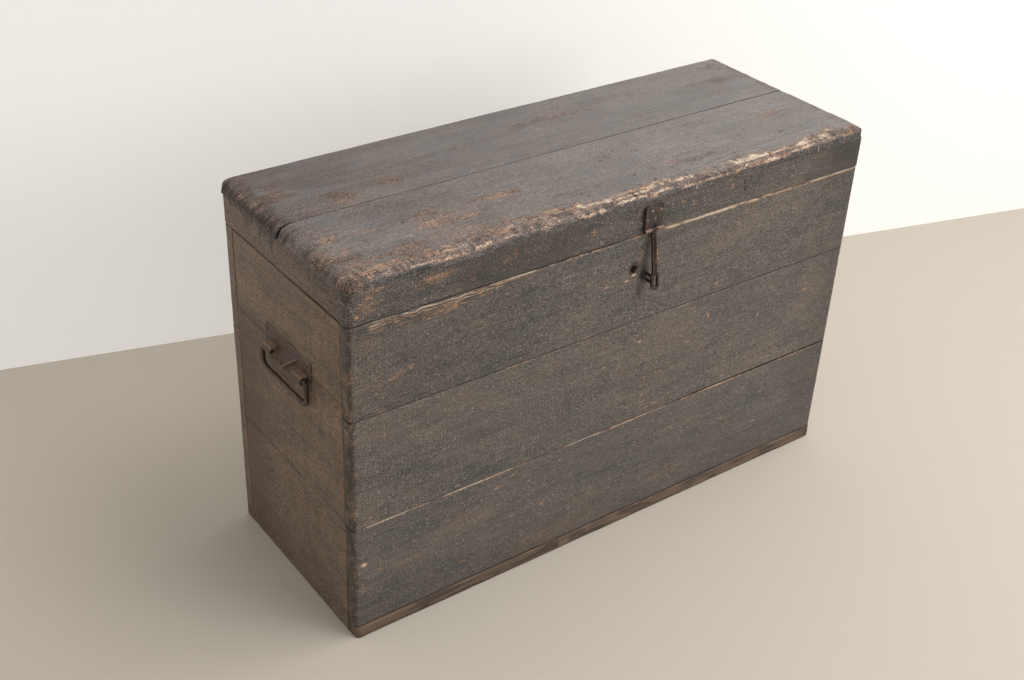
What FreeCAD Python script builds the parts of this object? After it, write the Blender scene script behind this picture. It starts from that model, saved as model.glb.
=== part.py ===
"""Plank-built lift-lid chest with bail handles, hasp and staple, and a chest lock.

Millimetres. X runs along the length, Y from front to back, Z up. The origin is on the floor, under the
middle of the body. Every piece is written to its own STEP file in parts/.
"""
import FreeCAD, Part
import math
import os

from FreeCAD import Vector

os.makedirs("parts", exist_ok=True)

# ---------------------------------------------------------------- driving dimensions

# Body
LENGTH = 960.0
DEPTH = 352.0
WALL_HEIGHT = 542.0
WALL = 20.0
FLOOR_THICKNESS = 18.0
CORNER_RADIUS = 9.0
BACK_CORNER_RADIUS = 1.5
SHRINKAGE_GAP = 0.8
SEAM_CHAMFER = 1.0

FOOT_STRIP_HEIGHT = 20.5
FOOT_STRIP_PROUD = 2.0
FOOT_STRIP_JOINT_X = -104.0

FRONT_SEAMS = (204.6, 392.0)
BACK_SEAMS = (186.0, 371.0)
END_SEAMS = (209.7, 410.3)
FLOOR_SEAMS_Y = (-58.0, 61.0)

# Lid
LID_GAP = 0.5
RIM_HEIGHT = 49.0
LID_BOARD = 18.5
LID_SIDE_OVERHANG = 1.0
LID_FRONT_OVERHANG = 0.5
LID_BACK_OVERHANG = 7.5
LID_SEAM_Y = 9.0
BACK_BOARD_PROUD = 2.5
RIM_CORNER_RADIUS = 11.0
LID_CORNER_RADII = (24.0, 14.0, 12.0, 12.0)

# Worn rounds of the lid's top arris: how far in, how far down
LEFT_END_ROUND = (26.0, 16.5)
RIGHT_END_ROUND = (11.0, 9.0)
FRONT_ROUND = (15.0, 13.0)
BACK_ROUND = (7.0, 6.0)

# Nails: round shank, flat head let in flush
NAIL_SHANK_RADIUS = 1.4
NAIL_HEAD_RADIUS = 3.0
NAIL_HEAD_THICKNESS = 1.2
WALL_NAIL_LENGTH = 52.0
LID_NAIL_LENGTH = 42.0
RAIL_FIXING_LENGTH = 11.0
SCREW_HEAD_RADIUS = 2.6
LOCK_SCREW_LENGTH = 16.0
DOME_RADIUS, DOME_RISE = 2.8, 1.3
WALL_NAIL_MARGIN = 27.0
FLOOR_NAIL_MARGIN = 22.0
LONG_FLOOR_NAILS, LONG_FLOOR_NAIL_MARGIN = 7, 40.0
LONG_LID_NAILS, LONG_LID_NAIL_MARGIN = 6, 60.0
LID_NAIL_SINK = 3.4
LID_NAIL_INSET = 4.0
LID_END_NAIL_Y = (-128.0, -76.0, -24.0, 30.0, 82.0, 134.0)
RIM_NAIL_MARGIN = 14.0

# Bail handles
HANDLE_CENTRE_Y = -5.3
HANDLE_PLATE_WIDTH = 135.0
HANDLE_PLATE_THICKNESS = 2.0
HANDLE_PLATE_Z = (380.0, 433.0)
HANDLE_PLATE_CORNER = 5.0
BAIL_PIVOT_Z = 402.0
BAIL_PIVOT_OUT = 9.0
BAIL_RADIUS = 4.0
BAIL_ARM_SPAN = 132.0
BAIL_DROP = 38.0
BAIL_INNER_END = 34.0
BAIL_EYE_BEND = 7.0
BAIL_GRIP_BEND = 12.0
SLEEVE_RADIUS = 6.6
SLEEVE_SPAN = (32.0, 58.0)
RUNNING_CLEARANCE = 0.05
TONGUE_WIDTH, TONGUE_THICKNESS = 7.0, 2.2
TONGUE_ROOT = (1.0, -29.0, 418.0)
TONGUE_TIP = (14.0, -7.0, 399.0)
HANDLE_NAIL_LENGTH = 19.0
HANDLE_NAIL_PLACES = ((-59.5, 425.0), (59.5, 425.0), (-22.0, 386.5), (22.0, 386.5))

# Hasp and staple
HASP_X = 34.5
HASP_PLATE_WIDTH = 36.0
HASP_PLATE_HEIGHT = 38.0
HASP_PLATE_THICKNESS = 2.0
HASP_PIVOT_ABOVE_SEAM = 6.5
HASP_PIVOT_OUT = 3.8
HASP_PIN_RADIUS = 1.8
HASP_KNUCKLE_RADIUS = 3.6
HASP_BARREL_WIDTH = 10.6
KNUCKLE_END_GAP = 0.3
STRAP_WIDTH = 8.5
STRAP_THICKNESS = 4.0
EYE_DISTANCE = 82.0
EYE_WIDTH, EYE_HEIGHT = 15.0, 30.0
SLOT_WIDTH, SLOT_HEIGHT = 7.0, 18.0
HASP_REST_ANGLE = 9.5
STAPLE_RADIUS = 2.2
STAPLE_LEG_SPACING = 10.0
STAPLE_REACH = 15.0
STAPLE_ROOT = 14.0
HASP_NAIL_PLACES = ((-11.0, 15.5), (2.0, 15.5), (-4.0, 29.0), (13.0, 28.0))
STRAY_NAIL_PLACE, STRAY_NAIL_LENGTH = (30.9, 484.5), 16.0

# Keyhole and lock
KEYHOLE_X = 6.7
KEYHOLE_Z = 488.0
KEYHOLE_RADIUS = 5.5
KEY_SLOT_WIDTH = 5.0
KEY_SLOT_DROP = 9.5
LOCK_PLATE_SIZE = (86.0, 74.0)
LOCK_PLATE_THICKNESS = 2.0
LOCK_TOP_BELOW_EDGE = 1.5
LOCK_CASE_SIZE = (72.0, 66.0)
LOCK_CASE_DEPTH = 13.0
LOCK_SHEET = 1.5
BOLT_THROW = 9.0
BOLT_THICKNESS = 3.5
LINK_WIDTH = 4.0
LINK_DROP = 17.0
LINK_PLATE_THICKNESS = 2.0
LINK_PLATE_SIZE = (44.0, 35.0)
LINK_FROM_KEYHOLE = 14.0
LINK_SCREW_OFFSET, LINK_SCREW_RISE = 15.0, 22.0

# Hinges
HINGE_X = 300.0
LEAF_WIDTH = 54.0
LEAF_HEIGHT = 42.0
LEAF_THICKNESS = 2.5
HINGE_PIN_RADIUS = 2.2
HINGE_KNUCKLE_RADIUS = 4.0
HINGE_AXIS_OUT = 4.2
HINGE_SCREW_LENGTH = 18.0
HINGE_SCREW_PLACES = ((-19.0, 16.0), (0.0, 30.0), (19.0, 16.0))

# ---------------------------------------------------------------- levels and faces

END_X = LENGTH / 2
FRONT_Y = -DEPTH / 2
BACK_Y = DEPTH / 2
INNER_X = END_X - WALL
INNER_FRONT_Y = FRONT_Y + WALL
INNER_BACK_Y = BACK_Y - WALL
RIM_BOTTOM = WALL_HEIGHT + LID_GAP
RIM_TOP = RIM_BOTTOM + RIM_HEIGHT
LID_TOP = RIM_TOP + LID_BOARD
RIM_END_X = END_X + LID_SIDE_OVERHANG
RIM_FRONT_Y = FRONT_Y - LID_FRONT_OVERHANG
LID_BACK_Y = BACK_Y + LID_BACK_OVERHANG

HASP_PIVOT = Vector(HASP_X, RIM_FRONT_Y - HASP_PIVOT_OUT, RIM_BOTTOM + HASP_PIVOT_ABOVE_SEAM)
HINGE_AXIS = Vector(0, BACK_Y + HINGE_AXIS_OUT, WALL_HEIGHT + LID_GAP / 2)
BAIL_PIVOT = Vector(-END_X - BAIL_PIVOT_OUT, HANDLE_CENTRE_Y, BAIL_PIVOT_Z)

X_AXIS = Vector(1, 0, 0)
Y_AXIS = Vector(0, 1, 0)
Z_AXIS = Vector(0, 0, 1)


# ---------------------------------------------------------------- shape helpers

def block(x, y, z):
    """A box from three (low, high) pairs."""
    return Part.makeBox(x[1] - x[0], y[1] - y[0], z[1] - z[0], Vector(x[0], y[0], z[0]))


def rod(start, end, radius):
    """A round bar from one point to another."""
    return Part.makeCylinder(radius, (end - start).Length, start, end - start)


def rounded_outline(points, radii):
    """A closed wire through the points, each corner rounded with its own radius."""
    count = len(points)
    edges = []
    starts = []
    ends = []
    for index, corner in enumerate(points):
        before = (points[index - 1] - corner).normalize()
        after = (points[(index + 1) % count] - corner).normalize()
        radius = radii[index]
        half_turn = before.getAngle(after) / 2
        reach = radius / math.tan(half_turn) if radius else 0.0
        starts.append(corner + before * reach)
        ends.append(corner + after * reach)
        if radius:
            middle = (before + after).normalize()
            centre = corner + middle * (radius / math.sin(half_turn))
            edges.append(Part.Arc(starts[-1], centre - middle * radius, ends[-1]).toShape())
    for index in range(count):
        start = ends[index]
        end = starts[(index + 1) % count]
        if start.distanceToPoint(end) > 1e-6:
            edges.append(Part.makeLine(start, end))
    return Part.Wire(Part.__sortEdges__(edges))


def plan_prism(x, y, z, radii):
    """A box whose four upright corners have their own radii.

    The corners run front left, front right, back right, back left.
    """
    points = [Vector(x[0], y[0], z[0]), Vector(x[1], y[0], z[0]),
              Vector(x[1], y[1], z[0]), Vector(x[0], y[1], z[0])]
    return Part.Face(rounded_outline(points, radii)).extrude(Vector(0, 0, z[1] - z[0]))


def profile_prism(points, direction):
    """A polygon pushed along a direction."""
    return Part.Face(Part.makePolygon(points + points[:1])).extrude(direction)


def swept_bar(edges, radius):
    """A round bar along a path of lines and arcs."""
    path = Part.Wire(edges)
    start = edges[0].valueAt(edges[0].FirstParameter)
    tangent = edges[0].tangentAt(edges[0].FirstParameter)
    section = Part.Wire([Part.makeCircle(radius, start, tangent)])
    return path.makePipeShell([section], True, False)


def bent_path(points, radii):
    """Lines through the points, joined by tangent arcs at the inner points."""
    edges = []
    start = points[0]
    for index in range(1, len(points) - 1):
        corner = points[index]
        before = (points[index - 1] - corner).normalize()
        after = (points[index + 1] - corner).normalize()
        half_turn = before.getAngle(after) / 2
        radius = radii[index - 1]
        reach = radius / math.tan(half_turn)
        middle = (before + after).normalize()
        centre = corner + middle * (radius / math.sin(half_turn))
        arc_start = corner + before * reach
        arc_end = corner + after * reach
        edges.append(Part.makeLine(start, arc_start))
        edges.append(Part.Arc(arc_start, centre - middle * radius, arc_end).toShape())
        start = arc_end
    edges.append(Part.makeLine(start, points[-1]))
    return edges


def turned(shape, centre, axis, degrees):
    """A copy of the shape turned about an axis."""
    copy = shape.copy()
    copy.rotate(centre, axis, degrees)
    return copy


def mirrored_x(shape):
    """The same piece on the other end of the chest."""
    return shape.mirror(Vector(0, 0, 0), X_AXIS)


def nail(head, direction, length, head_radius=NAIL_HEAD_RADIUS):
    """A nail whose flat head lies flush at the head point."""
    shank = Part.makeCylinder(NAIL_SHANK_RADIUS, length, head, direction)
    cap = Part.makeCylinder(head_radius, NAIL_HEAD_THICKNESS, head, direction)
    return shank.fuse(cap).removeSplitter()


def proud_nail(head, direction, length):
    """A round-headed nail whose low dome stands on the surface at the head point."""
    sphere_radius = (DOME_RADIUS ** 2 + DOME_RISE ** 2) / (2 * DOME_RISE)
    centre = head + direction * (sphere_radius - DOME_RISE)
    ball = Part.makeSphere(sphere_radius, centre)
    slice_start = head - direction * DOME_RISE
    cap = ball.common(Part.makeCylinder(DOME_RADIUS + 1, DOME_RISE, slice_start, direction))
    shank = Part.makeCylinder(NAIL_SHANK_RADIUS, length, head, direction)
    return shank.fuse(cap).removeSplitter()


def spread(low, high, count, margin):
    """Evenly spaced places between two limits, a margin in from each."""
    step = (high - low - 2 * margin) / (count - 1)
    return [low + margin + step * index for index in range(count)]


def drilled(shape, tools):
    """The shape with room cut for the tools that reach it."""
    near = [tool for tool in tools if shape.BoundBox.intersect(tool.BoundBox)]
    return shape.cut(near) if near else shape


def write(name, solids):
    """One node: a single solid, or a group of separate solids."""
    shape = solids if isinstance(solids, Part.Shape) else Part.makeCompound(solids)
    for solid in shape.Solids:
        if not solid.isValid():
            raise ValueError(name + " has a bad solid")
    if len(shape.Solids) == 1:
        shape = shape.Solids[0]
    shape.exportStep("parts/" + name + ".step")
    box = shape.BoundBox
    print("%-26s %2d solids  x %7.1f %7.1f  y %7.1f %7.1f  z %6.1f %6.1f" % (
        name, len(shape.Solids), box.XMin, box.XMax, box.YMin, box.YMax, box.ZMin, box.ZMax))


# ---------------------------------------------------------------- body boards

def course_levels(bottom, seams, top):
    """The (low, high) of each board of a wall, with a shrinkage gap at each seam."""
    edges = [bottom] + list(seams) + [top]
    half = SHRINKAGE_GAP / 2
    levels = []
    for index in range(len(edges) - 1):
        low = edges[index] + (half if index > 0 else 0.0)
        high = edges[index + 1] - (half if index < len(edges) - 2 else 0.0)
        levels.append((low, high))
    return levels


def long_wall_board(side, level):
    """A front (side -1) or back (side +1) board, which laps over the end boards."""
    low, high = level
    outer = side * DEPTH / 2
    inner = side * (DEPTH / 2 - WALL)
    bevel = -side * SEAM_CHAMFER
    section = [Vector(-END_X, inner, low), Vector(-END_X, outer + bevel, low),
               Vector(-END_X, outer, low + SEAM_CHAMFER), Vector(-END_X, outer, high - SEAM_CHAMFER),
               Vector(-END_X, outer + bevel, high), Vector(-END_X, inner, high)]
    board = profile_prism(section, Vector(LENGTH, 0, 0))
    front_radii = (CORNER_RADIUS, CORNER_RADIUS, 0, 0)
    back_radii = (0, 0, BACK_CORNER_RADIUS, BACK_CORNER_RADIUS)
    plan = plan_prism((-END_X, END_X), sorted((inner, outer)), (low - 1, high + 1),
                      front_radii if side < 0 else back_radii)
    return board.common(plan)


def end_board(side, level):
    """A left (side -1) or right (side +1) board, held between the front and back boards."""
    low, high = level
    outer = side * END_X
    inner = side * INNER_X
    bevel = -side * SEAM_CHAMFER
    section = [Vector(inner, INNER_FRONT_Y, low), Vector(outer + bevel, INNER_FRONT_Y, low),
               Vector(outer, INNER_FRONT_Y, low + SEAM_CHAMFER),
               Vector(outer, INNER_FRONT_Y, high - SEAM_CHAMFER),
               Vector(outer + bevel, INNER_FRONT_Y, high), Vector(inner, INNER_FRONT_Y, high)]
    return profile_prism(section, Vector(0, INNER_BACK_Y - INNER_FRONT_Y, 0))


def foot_strip(x):
    """One length of the bare strip under the front boards, rounded at the chest's corner."""
    left = CORNER_RADIUS if x[0] < FOOT_STRIP_JOINT_X - 1 else 0.6
    right = CORNER_RADIUS if x[1] > FOOT_STRIP_JOINT_X + 1 else 0.6
    y = (FRONT_Y - FOOT_STRIP_PROUD, INNER_FRONT_Y)
    return plan_prism(x, y, (0, FOOT_STRIP_HEIGHT), (left, right, 0, 0))


def floor_board(y):
    """A floor board, lengthwise between the end boards."""
    return block((-INNER_X, INNER_X), y, (0, FLOOR_THICKNESS))


def keyhole_cutter():
    """The round keyhole and its slot, through the front board."""
    start = Vector(KEYHOLE_X, FRONT_Y - 5, KEYHOLE_Z)
    hole = Part.makeCylinder(KEYHOLE_RADIUS, WALL + 10, start, Y_AXIS)
    slot = block((KEYHOLE_X - KEY_SLOT_WIDTH / 2, KEYHOLE_X + KEY_SLOT_WIDTH / 2),
                 (FRONT_Y - 5, INNER_FRONT_Y + 5), (KEYHOLE_Z - KEY_SLOT_DROP, KEYHOLE_Z))
    return hole.fuse(slot)


# ---------------------------------------------------------------- lid

def lid_slab(left):
    """The whole lid top from its left end, before it is parted into boards: worn round at every side."""
    right = RIM_END_X
    front = RIM_FRONT_Y
    back = LID_BACK_Y
    low = RIM_TOP
    high = LID_TOP

    def quarter(centre, out, up):
        """A quarter ellipse from centre + out to centre + up."""
        ellipse = Part.Ellipse(centre + out, centre + up, centre)
        return Part.ArcOfEllipse(ellipse, 0, math.pi / 2).toShape()

    def section(start, end, start_round, end_round):
        """The slab's outline between two lower corners, its upper corners rounded (out, down)."""
        along = (end - start).normalize()
        up = Vector(0, 0, high - low)
        start_down = start + up - Vector(0, 0, start_round[1])
        end_down = end + up - Vector(0, 0, end_round[1])
        start_arc = quarter(start_down + along * start_round[0], along * -start_round[0],
                            Vector(0, 0, start_round[1]))
        end_arc = quarter(end_down - along * end_round[0], along * end_round[0],
                          Vector(0, 0, end_round[1]))
        lines = [Part.makeLine(start, end), Part.makeLine(start, start_down), Part.makeLine(end, end_down),
                 Part.makeLine(start + up + along * start_round[0], end + up - along * end_round[0])]
        return Part.Face(Part.Wire(Part.__sortEdges__(lines + [start_arc, end_arc])))

    past = 5.0
    lengthwise = section(Vector(left, front - past, low), Vector(right, front - past, low),
                         LEFT_END_ROUND, RIGHT_END_ROUND)
    crosswise = section(Vector(left - past, front, low), Vector(left - past, back, low), FRONT_ROUND, BACK_ROUND)
    slab = lengthwise.extrude(Vector(0, back - front + 2 * past, 0))
    slab = slab.common(crosswise.extrude(Vector(right - left + 2 * past, 0, 0)))
    plan = plan_prism((left, right), (front, back), (low - 1, high + 1), LID_CORNER_RADII)
    return slab.common(plan)


def lid_boards():
    """The front and back lid boards, parted along the seam; the back one's left end stands proud."""
    half = SHRINKAGE_GAP / 2
    wide = RIM_END_X + 10
    level = (RIM_TOP - 1, LID_TOP + 1)
    front_part = block((-wide, wide), (RIM_FRONT_Y - 10, LID_SEAM_Y - half), level)
    back_part = block((-wide, wide), (LID_SEAM_Y + half, LID_BACK_Y + 10), level)
    front = lid_slab(-RIM_END_X).common(front_part)
    back = lid_slab(-RIM_END_X - BACK_BOARD_PROUD).common(back_part)
    return front, back


def front_rail():
    """The lid rim's front rail, full length, with rounded corners."""
    return plan_prism((-RIM_END_X, RIM_END_X), (RIM_FRONT_Y, RIM_FRONT_Y + WALL), (RIM_BOTTOM, RIM_TOP),
                      (RIM_CORNER_RADIUS, RIM_CORNER_RADIUS, 0, 0))


def end_rail(side):
    """An end rail of the lid rim, from the front rail to the back face."""
    x = sorted((side * RIM_END_X, side * (RIM_END_X - WALL)))
    radii = (0, 0, 0, 3.0) if side < 0 else (0, 0, 3.0, 0)
    return plan_prism(x, (RIM_FRONT_Y + WALL, BACK_Y), (RIM_BOTTOM, RIM_TOP), radii)


def back_rail():
    """The back rail, between the end rails."""
    reach = RIM_END_X - WALL
    return block((-reach, reach), (BACK_Y - WALL, BACK_Y), (RIM_BOTTOM, RIM_TOP))


# ---------------------------------------------------------------- nails in the wood

def body_nails():
    """Nails through the front and back boards into the end boards' edges."""
    nails = []
    walls = ((-1, course_levels(FOOT_STRIP_HEIGHT + 0.5, FRONT_SEAMS, WALL_HEIGHT)),
             (1, course_levels(0.0, BACK_SEAMS, WALL_HEIGHT)))
    for side, courses in walls:
        for low, high in courses:
            for z in spread(low, high, 3, WALL_NAIL_MARGIN):
                for x in (-END_X + WALL / 2, END_X - WALL / 2):
                    head = Vector(x, side * DEPTH / 2, z)
                    nails.append(nail(head, Vector(0, -side, 0), WALL_NAIL_LENGTH))
    return nails


def floor_nails():
    """Nails through the end boards, the foot strip and the lowest back board into the floor."""
    nails = []
    middle = FLOOR_THICKNESS / 2
    edges = [INNER_FRONT_Y, FLOOR_SEAMS_Y[0], FLOOR_SEAMS_Y[1], INNER_BACK_Y]
    for index in range(3):
        for y in spread(edges[index], edges[index + 1], 2, FLOOR_NAIL_MARGIN):
            for side in (-1, 1):
                nails.append(nail(Vector(side * END_X, y, middle), Vector(-side, 0, 0), WALL_NAIL_LENGTH))
    for x in spread(-INNER_X, INNER_X, LONG_FLOOR_NAILS, LONG_FLOOR_NAIL_MARGIN):
        nails.append(nail(Vector(x, FRONT_Y - FOOT_STRIP_PROUD, middle), Y_AXIS, WALL_NAIL_LENGTH))
        nails.append(nail(Vector(x, BACK_Y, middle), -Y_AXIS, WALL_NAIL_LENGTH))
    return nails


def lid_nails():
    """Nails down through the lid boards into the rim, and through the rim's corners."""
    nails = []
    rail_middle = RIM_END_X - WALL / 2
    head_z = LID_TOP - LID_NAIL_SINK
    down_places = []
    for side in (-1, 1):
        for y in LID_END_NAIL_Y:
            down_places.append((side * (rail_middle - LID_NAIL_INSET), y))
        for z in (RIM_BOTTOM + RIM_NAIL_MARGIN, RIM_TOP - RIM_NAIL_MARGIN):
            front_head = Vector(side * rail_middle, RIM_FRONT_Y, z)
            end_head = Vector(side * RIM_END_X, BACK_Y - WALL / 2, z)
            nails.append(nail(front_head, Y_AXIS, WALL_NAIL_LENGTH))
            nails.append(nail(end_head, Vector(-side, 0, 0), WALL_NAIL_LENGTH))
    for x in spread(-INNER_X, INNER_X, LONG_LID_NAILS, LONG_LID_NAIL_MARGIN):
        down_places.append((x, RIM_FRONT_Y + WALL / 2 + LID_NAIL_INSET))
        down_places.append((x, BACK_Y - WALL / 2))
    for x, y in down_places:
        nails.append(nail(Vector(x, y, head_z), -Z_AXIS, LID_NAIL_LENGTH))
    return nails


# ---------------------------------------------------------------- bail handle (left end)

def handle_plate():
    """The handle's plate with a pivot sleeve at each side and a small bent tongue between them."""
    half = HANDLE_PLATE_WIDTH / 2
    outer = -END_X - HANDLE_PLATE_THICKNESS
    corner = HANDLE_PLATE_CORNER
    points = [Vector(-END_X, HANDLE_CENTRE_Y - half, HANDLE_PLATE_Z[0]),
              Vector(-END_X, HANDLE_CENTRE_Y + half, HANDLE_PLATE_Z[0]),
              Vector(-END_X, HANDLE_CENTRE_Y + half, HANDLE_PLATE_Z[1]),
              Vector(-END_X, HANDLE_CENTRE_Y - half, HANDLE_PLATE_Z[1])]
    outline = rounded_outline(points, (3 * corner, 3 * corner, corner, corner))
    plate = Part.Face(outline).extrude(Vector(-HANDLE_PLATE_THICKNESS, 0, 0))
    for side in (-1, 1):
        y = sorted((HANDLE_CENTRE_Y + side * SLEEVE_SPAN[0], HANDLE_CENTRE_Y + side * SLEEVE_SPAN[1]))
        start = Vector(BAIL_PIVOT.x, y[0], BAIL_PIVOT.z)
        end = Vector(BAIL_PIVOT.x, y[1], BAIL_PIVOT.z)
        sleeve = rod(start, end, SLEEVE_RADIUS)
        web = block((BAIL_PIVOT.x, outer + 0.5), y,
                    (BAIL_PIVOT.z - SLEEVE_RADIUS * 0.8, BAIL_PIVOT.z + SLEEVE_RADIUS))
        bore = rod(start - Y_AXIS, end + Y_AXIS, BAIL_RADIUS + RUNNING_CLEARANCE)
        plate = plate.fuse(sleeve.fuse(web)).cut(bore)
    return plate.fuse(plate_tongue()).removeSplitter()


def plate_tongue():
    """A tongue cut from the plate and bent out and down beside the front sleeve."""
    root = Vector(-END_X - TONGUE_ROOT[0], HANDLE_CENTRE_Y + TONGUE_ROOT[1], TONGUE_ROOT[2])
    tip = Vector(-END_X - TONGUE_TIP[0], HANDLE_CENTRE_Y + TONGUE_TIP[1], TONGUE_TIP[2])
    run = tip - root
    tongue = Part.makeBox(TONGUE_THICKNESS, TONGUE_WIDTH, run.Length,
                          Vector(-TONGUE_THICKNESS / 2, -TONGUE_WIDTH / 2, 0))
    tongue.Placement = FreeCAD.Placement(root, FreeCAD.Rotation(Z_AXIS, run))
    clear_of_wall = block((-END_X - 40, -END_X - 0.2), (-80, 80), HANDLE_PLATE_Z)
    return tongue.common(clear_of_wall)


def handle_nails():
    """Four round-headed nails through the handle's plate."""
    nails = []
    for y_offset, z in HANDLE_NAIL_PLACES:
        head = Vector(-END_X - HANDLE_PLATE_THICKNESS, HANDLE_CENTRE_Y + y_offset, z)
        nails.append(proud_nail(head, X_AXIS, HANDLE_NAIL_LENGTH))
    return nails


def bail():
    """The bail: a bent round bar, its ends turned in through the plate's sleeves."""
    x = BAIL_PIVOT.x
    top = BAIL_PIVOT.z
    low = BAIL_PIVOT.z - BAIL_DROP
    arm = BAIL_ARM_SPAN / 2
    points = [Vector(x, HANDLE_CENTRE_Y - BAIL_INNER_END, top), Vector(x, HANDLE_CENTRE_Y - arm, top),
              Vector(x, HANDLE_CENTRE_Y - arm, low), Vector(x, HANDLE_CENTRE_Y + arm, low),
              Vector(x, HANDLE_CENTRE_Y + arm, top), Vector(x, HANDLE_CENTRE_Y + BAIL_INNER_END, top)]
    radii = (BAIL_EYE_BEND, BAIL_GRIP_BEND, BAIL_GRIP_BEND, BAIL_EYE_BEND)
    return swept_bar(bent_path(points, radii), BAIL_RADIUS)


# ---------------------------------------------------------------- hasp and staple

def hasp_plate():
    """The plate on the lid's front rail, its lower edge rolled into two knuckles."""
    x = (HASP_X - HASP_PLATE_WIDTH / 2, HASP_X + HASP_PLATE_WIDTH / 2)
    plate = block(x, (RIM_FRONT_Y - HASP_PLATE_THICKNESS, RIM_FRONT_Y),
                  (HASP_PIVOT.z, HASP_PIVOT.z + HASP_PLATE_HEIGHT))
    gap_half = HASP_BARREL_WIDTH / 2 + KNUCKLE_END_GAP
    roll = rod(Vector(x[0], HASP_PIVOT.y, HASP_PIVOT.z), Vector(x[1], HASP_PIVOT.y, HASP_PIVOT.z),
               HASP_KNUCKLE_RADIUS)
    notch = block((HASP_X - gap_half, HASP_X + gap_half), (HASP_PIVOT.y - 10, RIM_FRONT_Y),
                  (HASP_PIVOT.z - 10, HASP_PIVOT.z + HASP_KNUCKLE_RADIUS + 1.2))
    bore = rod(Vector(x[0] - 1, HASP_PIVOT.y, HASP_PIVOT.z), Vector(x[1] + 1, HASP_PIVOT.y, HASP_PIVOT.z),
               HASP_PIN_RADIUS)
    return plate.fuse(roll).cut(notch).cut(bore).removeSplitter()


def hasp_pin():
    """The pin through the plate's knuckles and the strap's barrel."""
    half = HASP_PLATE_WIDTH / 2
    return rod(HASP_PIVOT - X_AXIS * half, HASP_PIVOT + X_AXIS * half, HASP_PIN_RADIUS)


def hasp_plate_nails():
    """Round-headed nails through the hasp's plate."""
    nails = []
    for offset, rise in HASP_NAIL_PLACES:
        head = Vector(HASP_X + offset, RIM_FRONT_Y - HASP_PLATE_THICKNESS, HASP_PIVOT.z + rise)
        nails.append(proud_nail(head, Y_AXIS, RAIL_FIXING_LENGTH))
    return nails


def hasp_strap():
    """The narrow strap with a barrel at the top and a slotted eye at the foot, swung a little out."""
    y = (HASP_PIVOT.y - STRAP_THICKNESS / 2, HASP_PIVOT.y + STRAP_THICKNESS / 2)
    eye_z = HASP_PIVOT.z - EYE_DISTANCE
    strap = block((HASP_X - STRAP_WIDTH / 2, HASP_X + STRAP_WIDTH / 2), y, (eye_z, HASP_PIVOT.z))
    eye = upright_oval(eye_z, EYE_WIDTH, EYE_HEIGHT, y)
    slot = upright_oval(eye_z, SLOT_WIDTH, SLOT_HEIGHT, (y[0] - 1, y[1] + 1))
    half = HASP_BARREL_WIDTH / 2
    barrel = rod(HASP_PIVOT - X_AXIS * half, HASP_PIVOT + X_AXIS * half, HASP_KNUCKLE_RADIUS)
    bore = rod(HASP_PIVOT - X_AXIS * 20, HASP_PIVOT + X_AXIS * 20, HASP_PIN_RADIUS + RUNNING_CLEARANCE)
    shape = strap.fuse([eye, barrel]).cut(slot).cut(bore).removeSplitter()
    return turned(shape, HASP_PIVOT, X_AXIS, -HASP_REST_ANGLE)


def upright_oval(z, width, height, y):
    """A slot shape standing in the strap's plane, centred at z."""
    left = HASP_X - width / 2
    right = HASP_X + width / 2
    points = [Vector(left, y[0], z - height / 2), Vector(right, y[0], z - height / 2),
              Vector(right, y[0], z + height / 2), Vector(left, y[0], z + height / 2)]
    radius = width / 2 - 0.01
    return Part.Face(rounded_outline(points, (radius,) * 4)).extrude(Vector(0, y[1] - y[0], 0))


def hasp_staple():
    """The staple: a bent round bar driven into the front board, its loop upright."""
    eye_z = HASP_PIVOT.z - EYE_DISTANCE
    half = STAPLE_LEG_SPACING / 2
    root = FRONT_Y + STAPLE_ROOT
    bend = FRONT_Y - STAPLE_REACH + STAPLE_RADIUS + half
    top_root = Vector(HASP_X, root, eye_z + half)
    top_bend = Vector(HASP_X, bend, eye_z + half)
    tip = Vector(HASP_X, bend - half, eye_z)
    low_bend = Vector(HASP_X, bend, eye_z - half)
    low_root = Vector(HASP_X, root, eye_z - half)
    edges = [Part.makeLine(top_root, top_bend), Part.Arc(top_bend, tip, low_bend).toShape(),
             Part.makeLine(low_bend, low_root)]
    return swept_bar(edges, STAPLE_RADIUS)


def old_nail():
    """A lone nail left in the front board above the staple."""
    x, z = STRAY_NAIL_PLACE
    return proud_nail(Vector(x, FRONT_Y, z), Y_AXIS, STRAY_NAIL_LENGTH)


# ---------------------------------------------------------------- lock

LOCK_FACE_Y = INNER_FRONT_Y
LOCK_TOP = WALL_HEIGHT - LOCK_TOP_BELOW_EDGE
LOCK_X = (KEYHOLE_X - LOCK_PLATE_SIZE[0] / 2, KEYHOLE_X + LOCK_PLATE_SIZE[0] / 2)
CASE_X = (KEYHOLE_X - LOCK_CASE_SIZE[0] / 2, KEYHOLE_X + LOCK_CASE_SIZE[0] / 2)
CASE_Y = (LOCK_FACE_Y + LOCK_PLATE_THICKNESS, LOCK_FACE_Y + LOCK_PLATE_THICKNESS + LOCK_CASE_DEPTH)
CASE_Z = (LOCK_TOP - LOCK_CASE_SIZE[1], LOCK_TOP)
LINK_X = KEYHOLE_X + LINK_FROM_KEYHOLE
LINK_Y = (CASE_Y[0] + 0.6, CASE_Y[0] + 10.6)
BOLT_Y = (CASE_Y[0] + 3.6, CASE_Y[0] + 3.6 + BOLT_THICKNESS)
BOLT_HEAD_Z = (528.5, 534.5)
RIVET_RADIUS = 2.0
RIVET_PLACES = ((KEYHOLE_X - 14.0, 516.0), (KEYHOLE_X - 2.0, 516.0))
BOLT_TAIL_Z = (499.5, 522.0)
BOLT_TALON_TOP = 505.0


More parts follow.
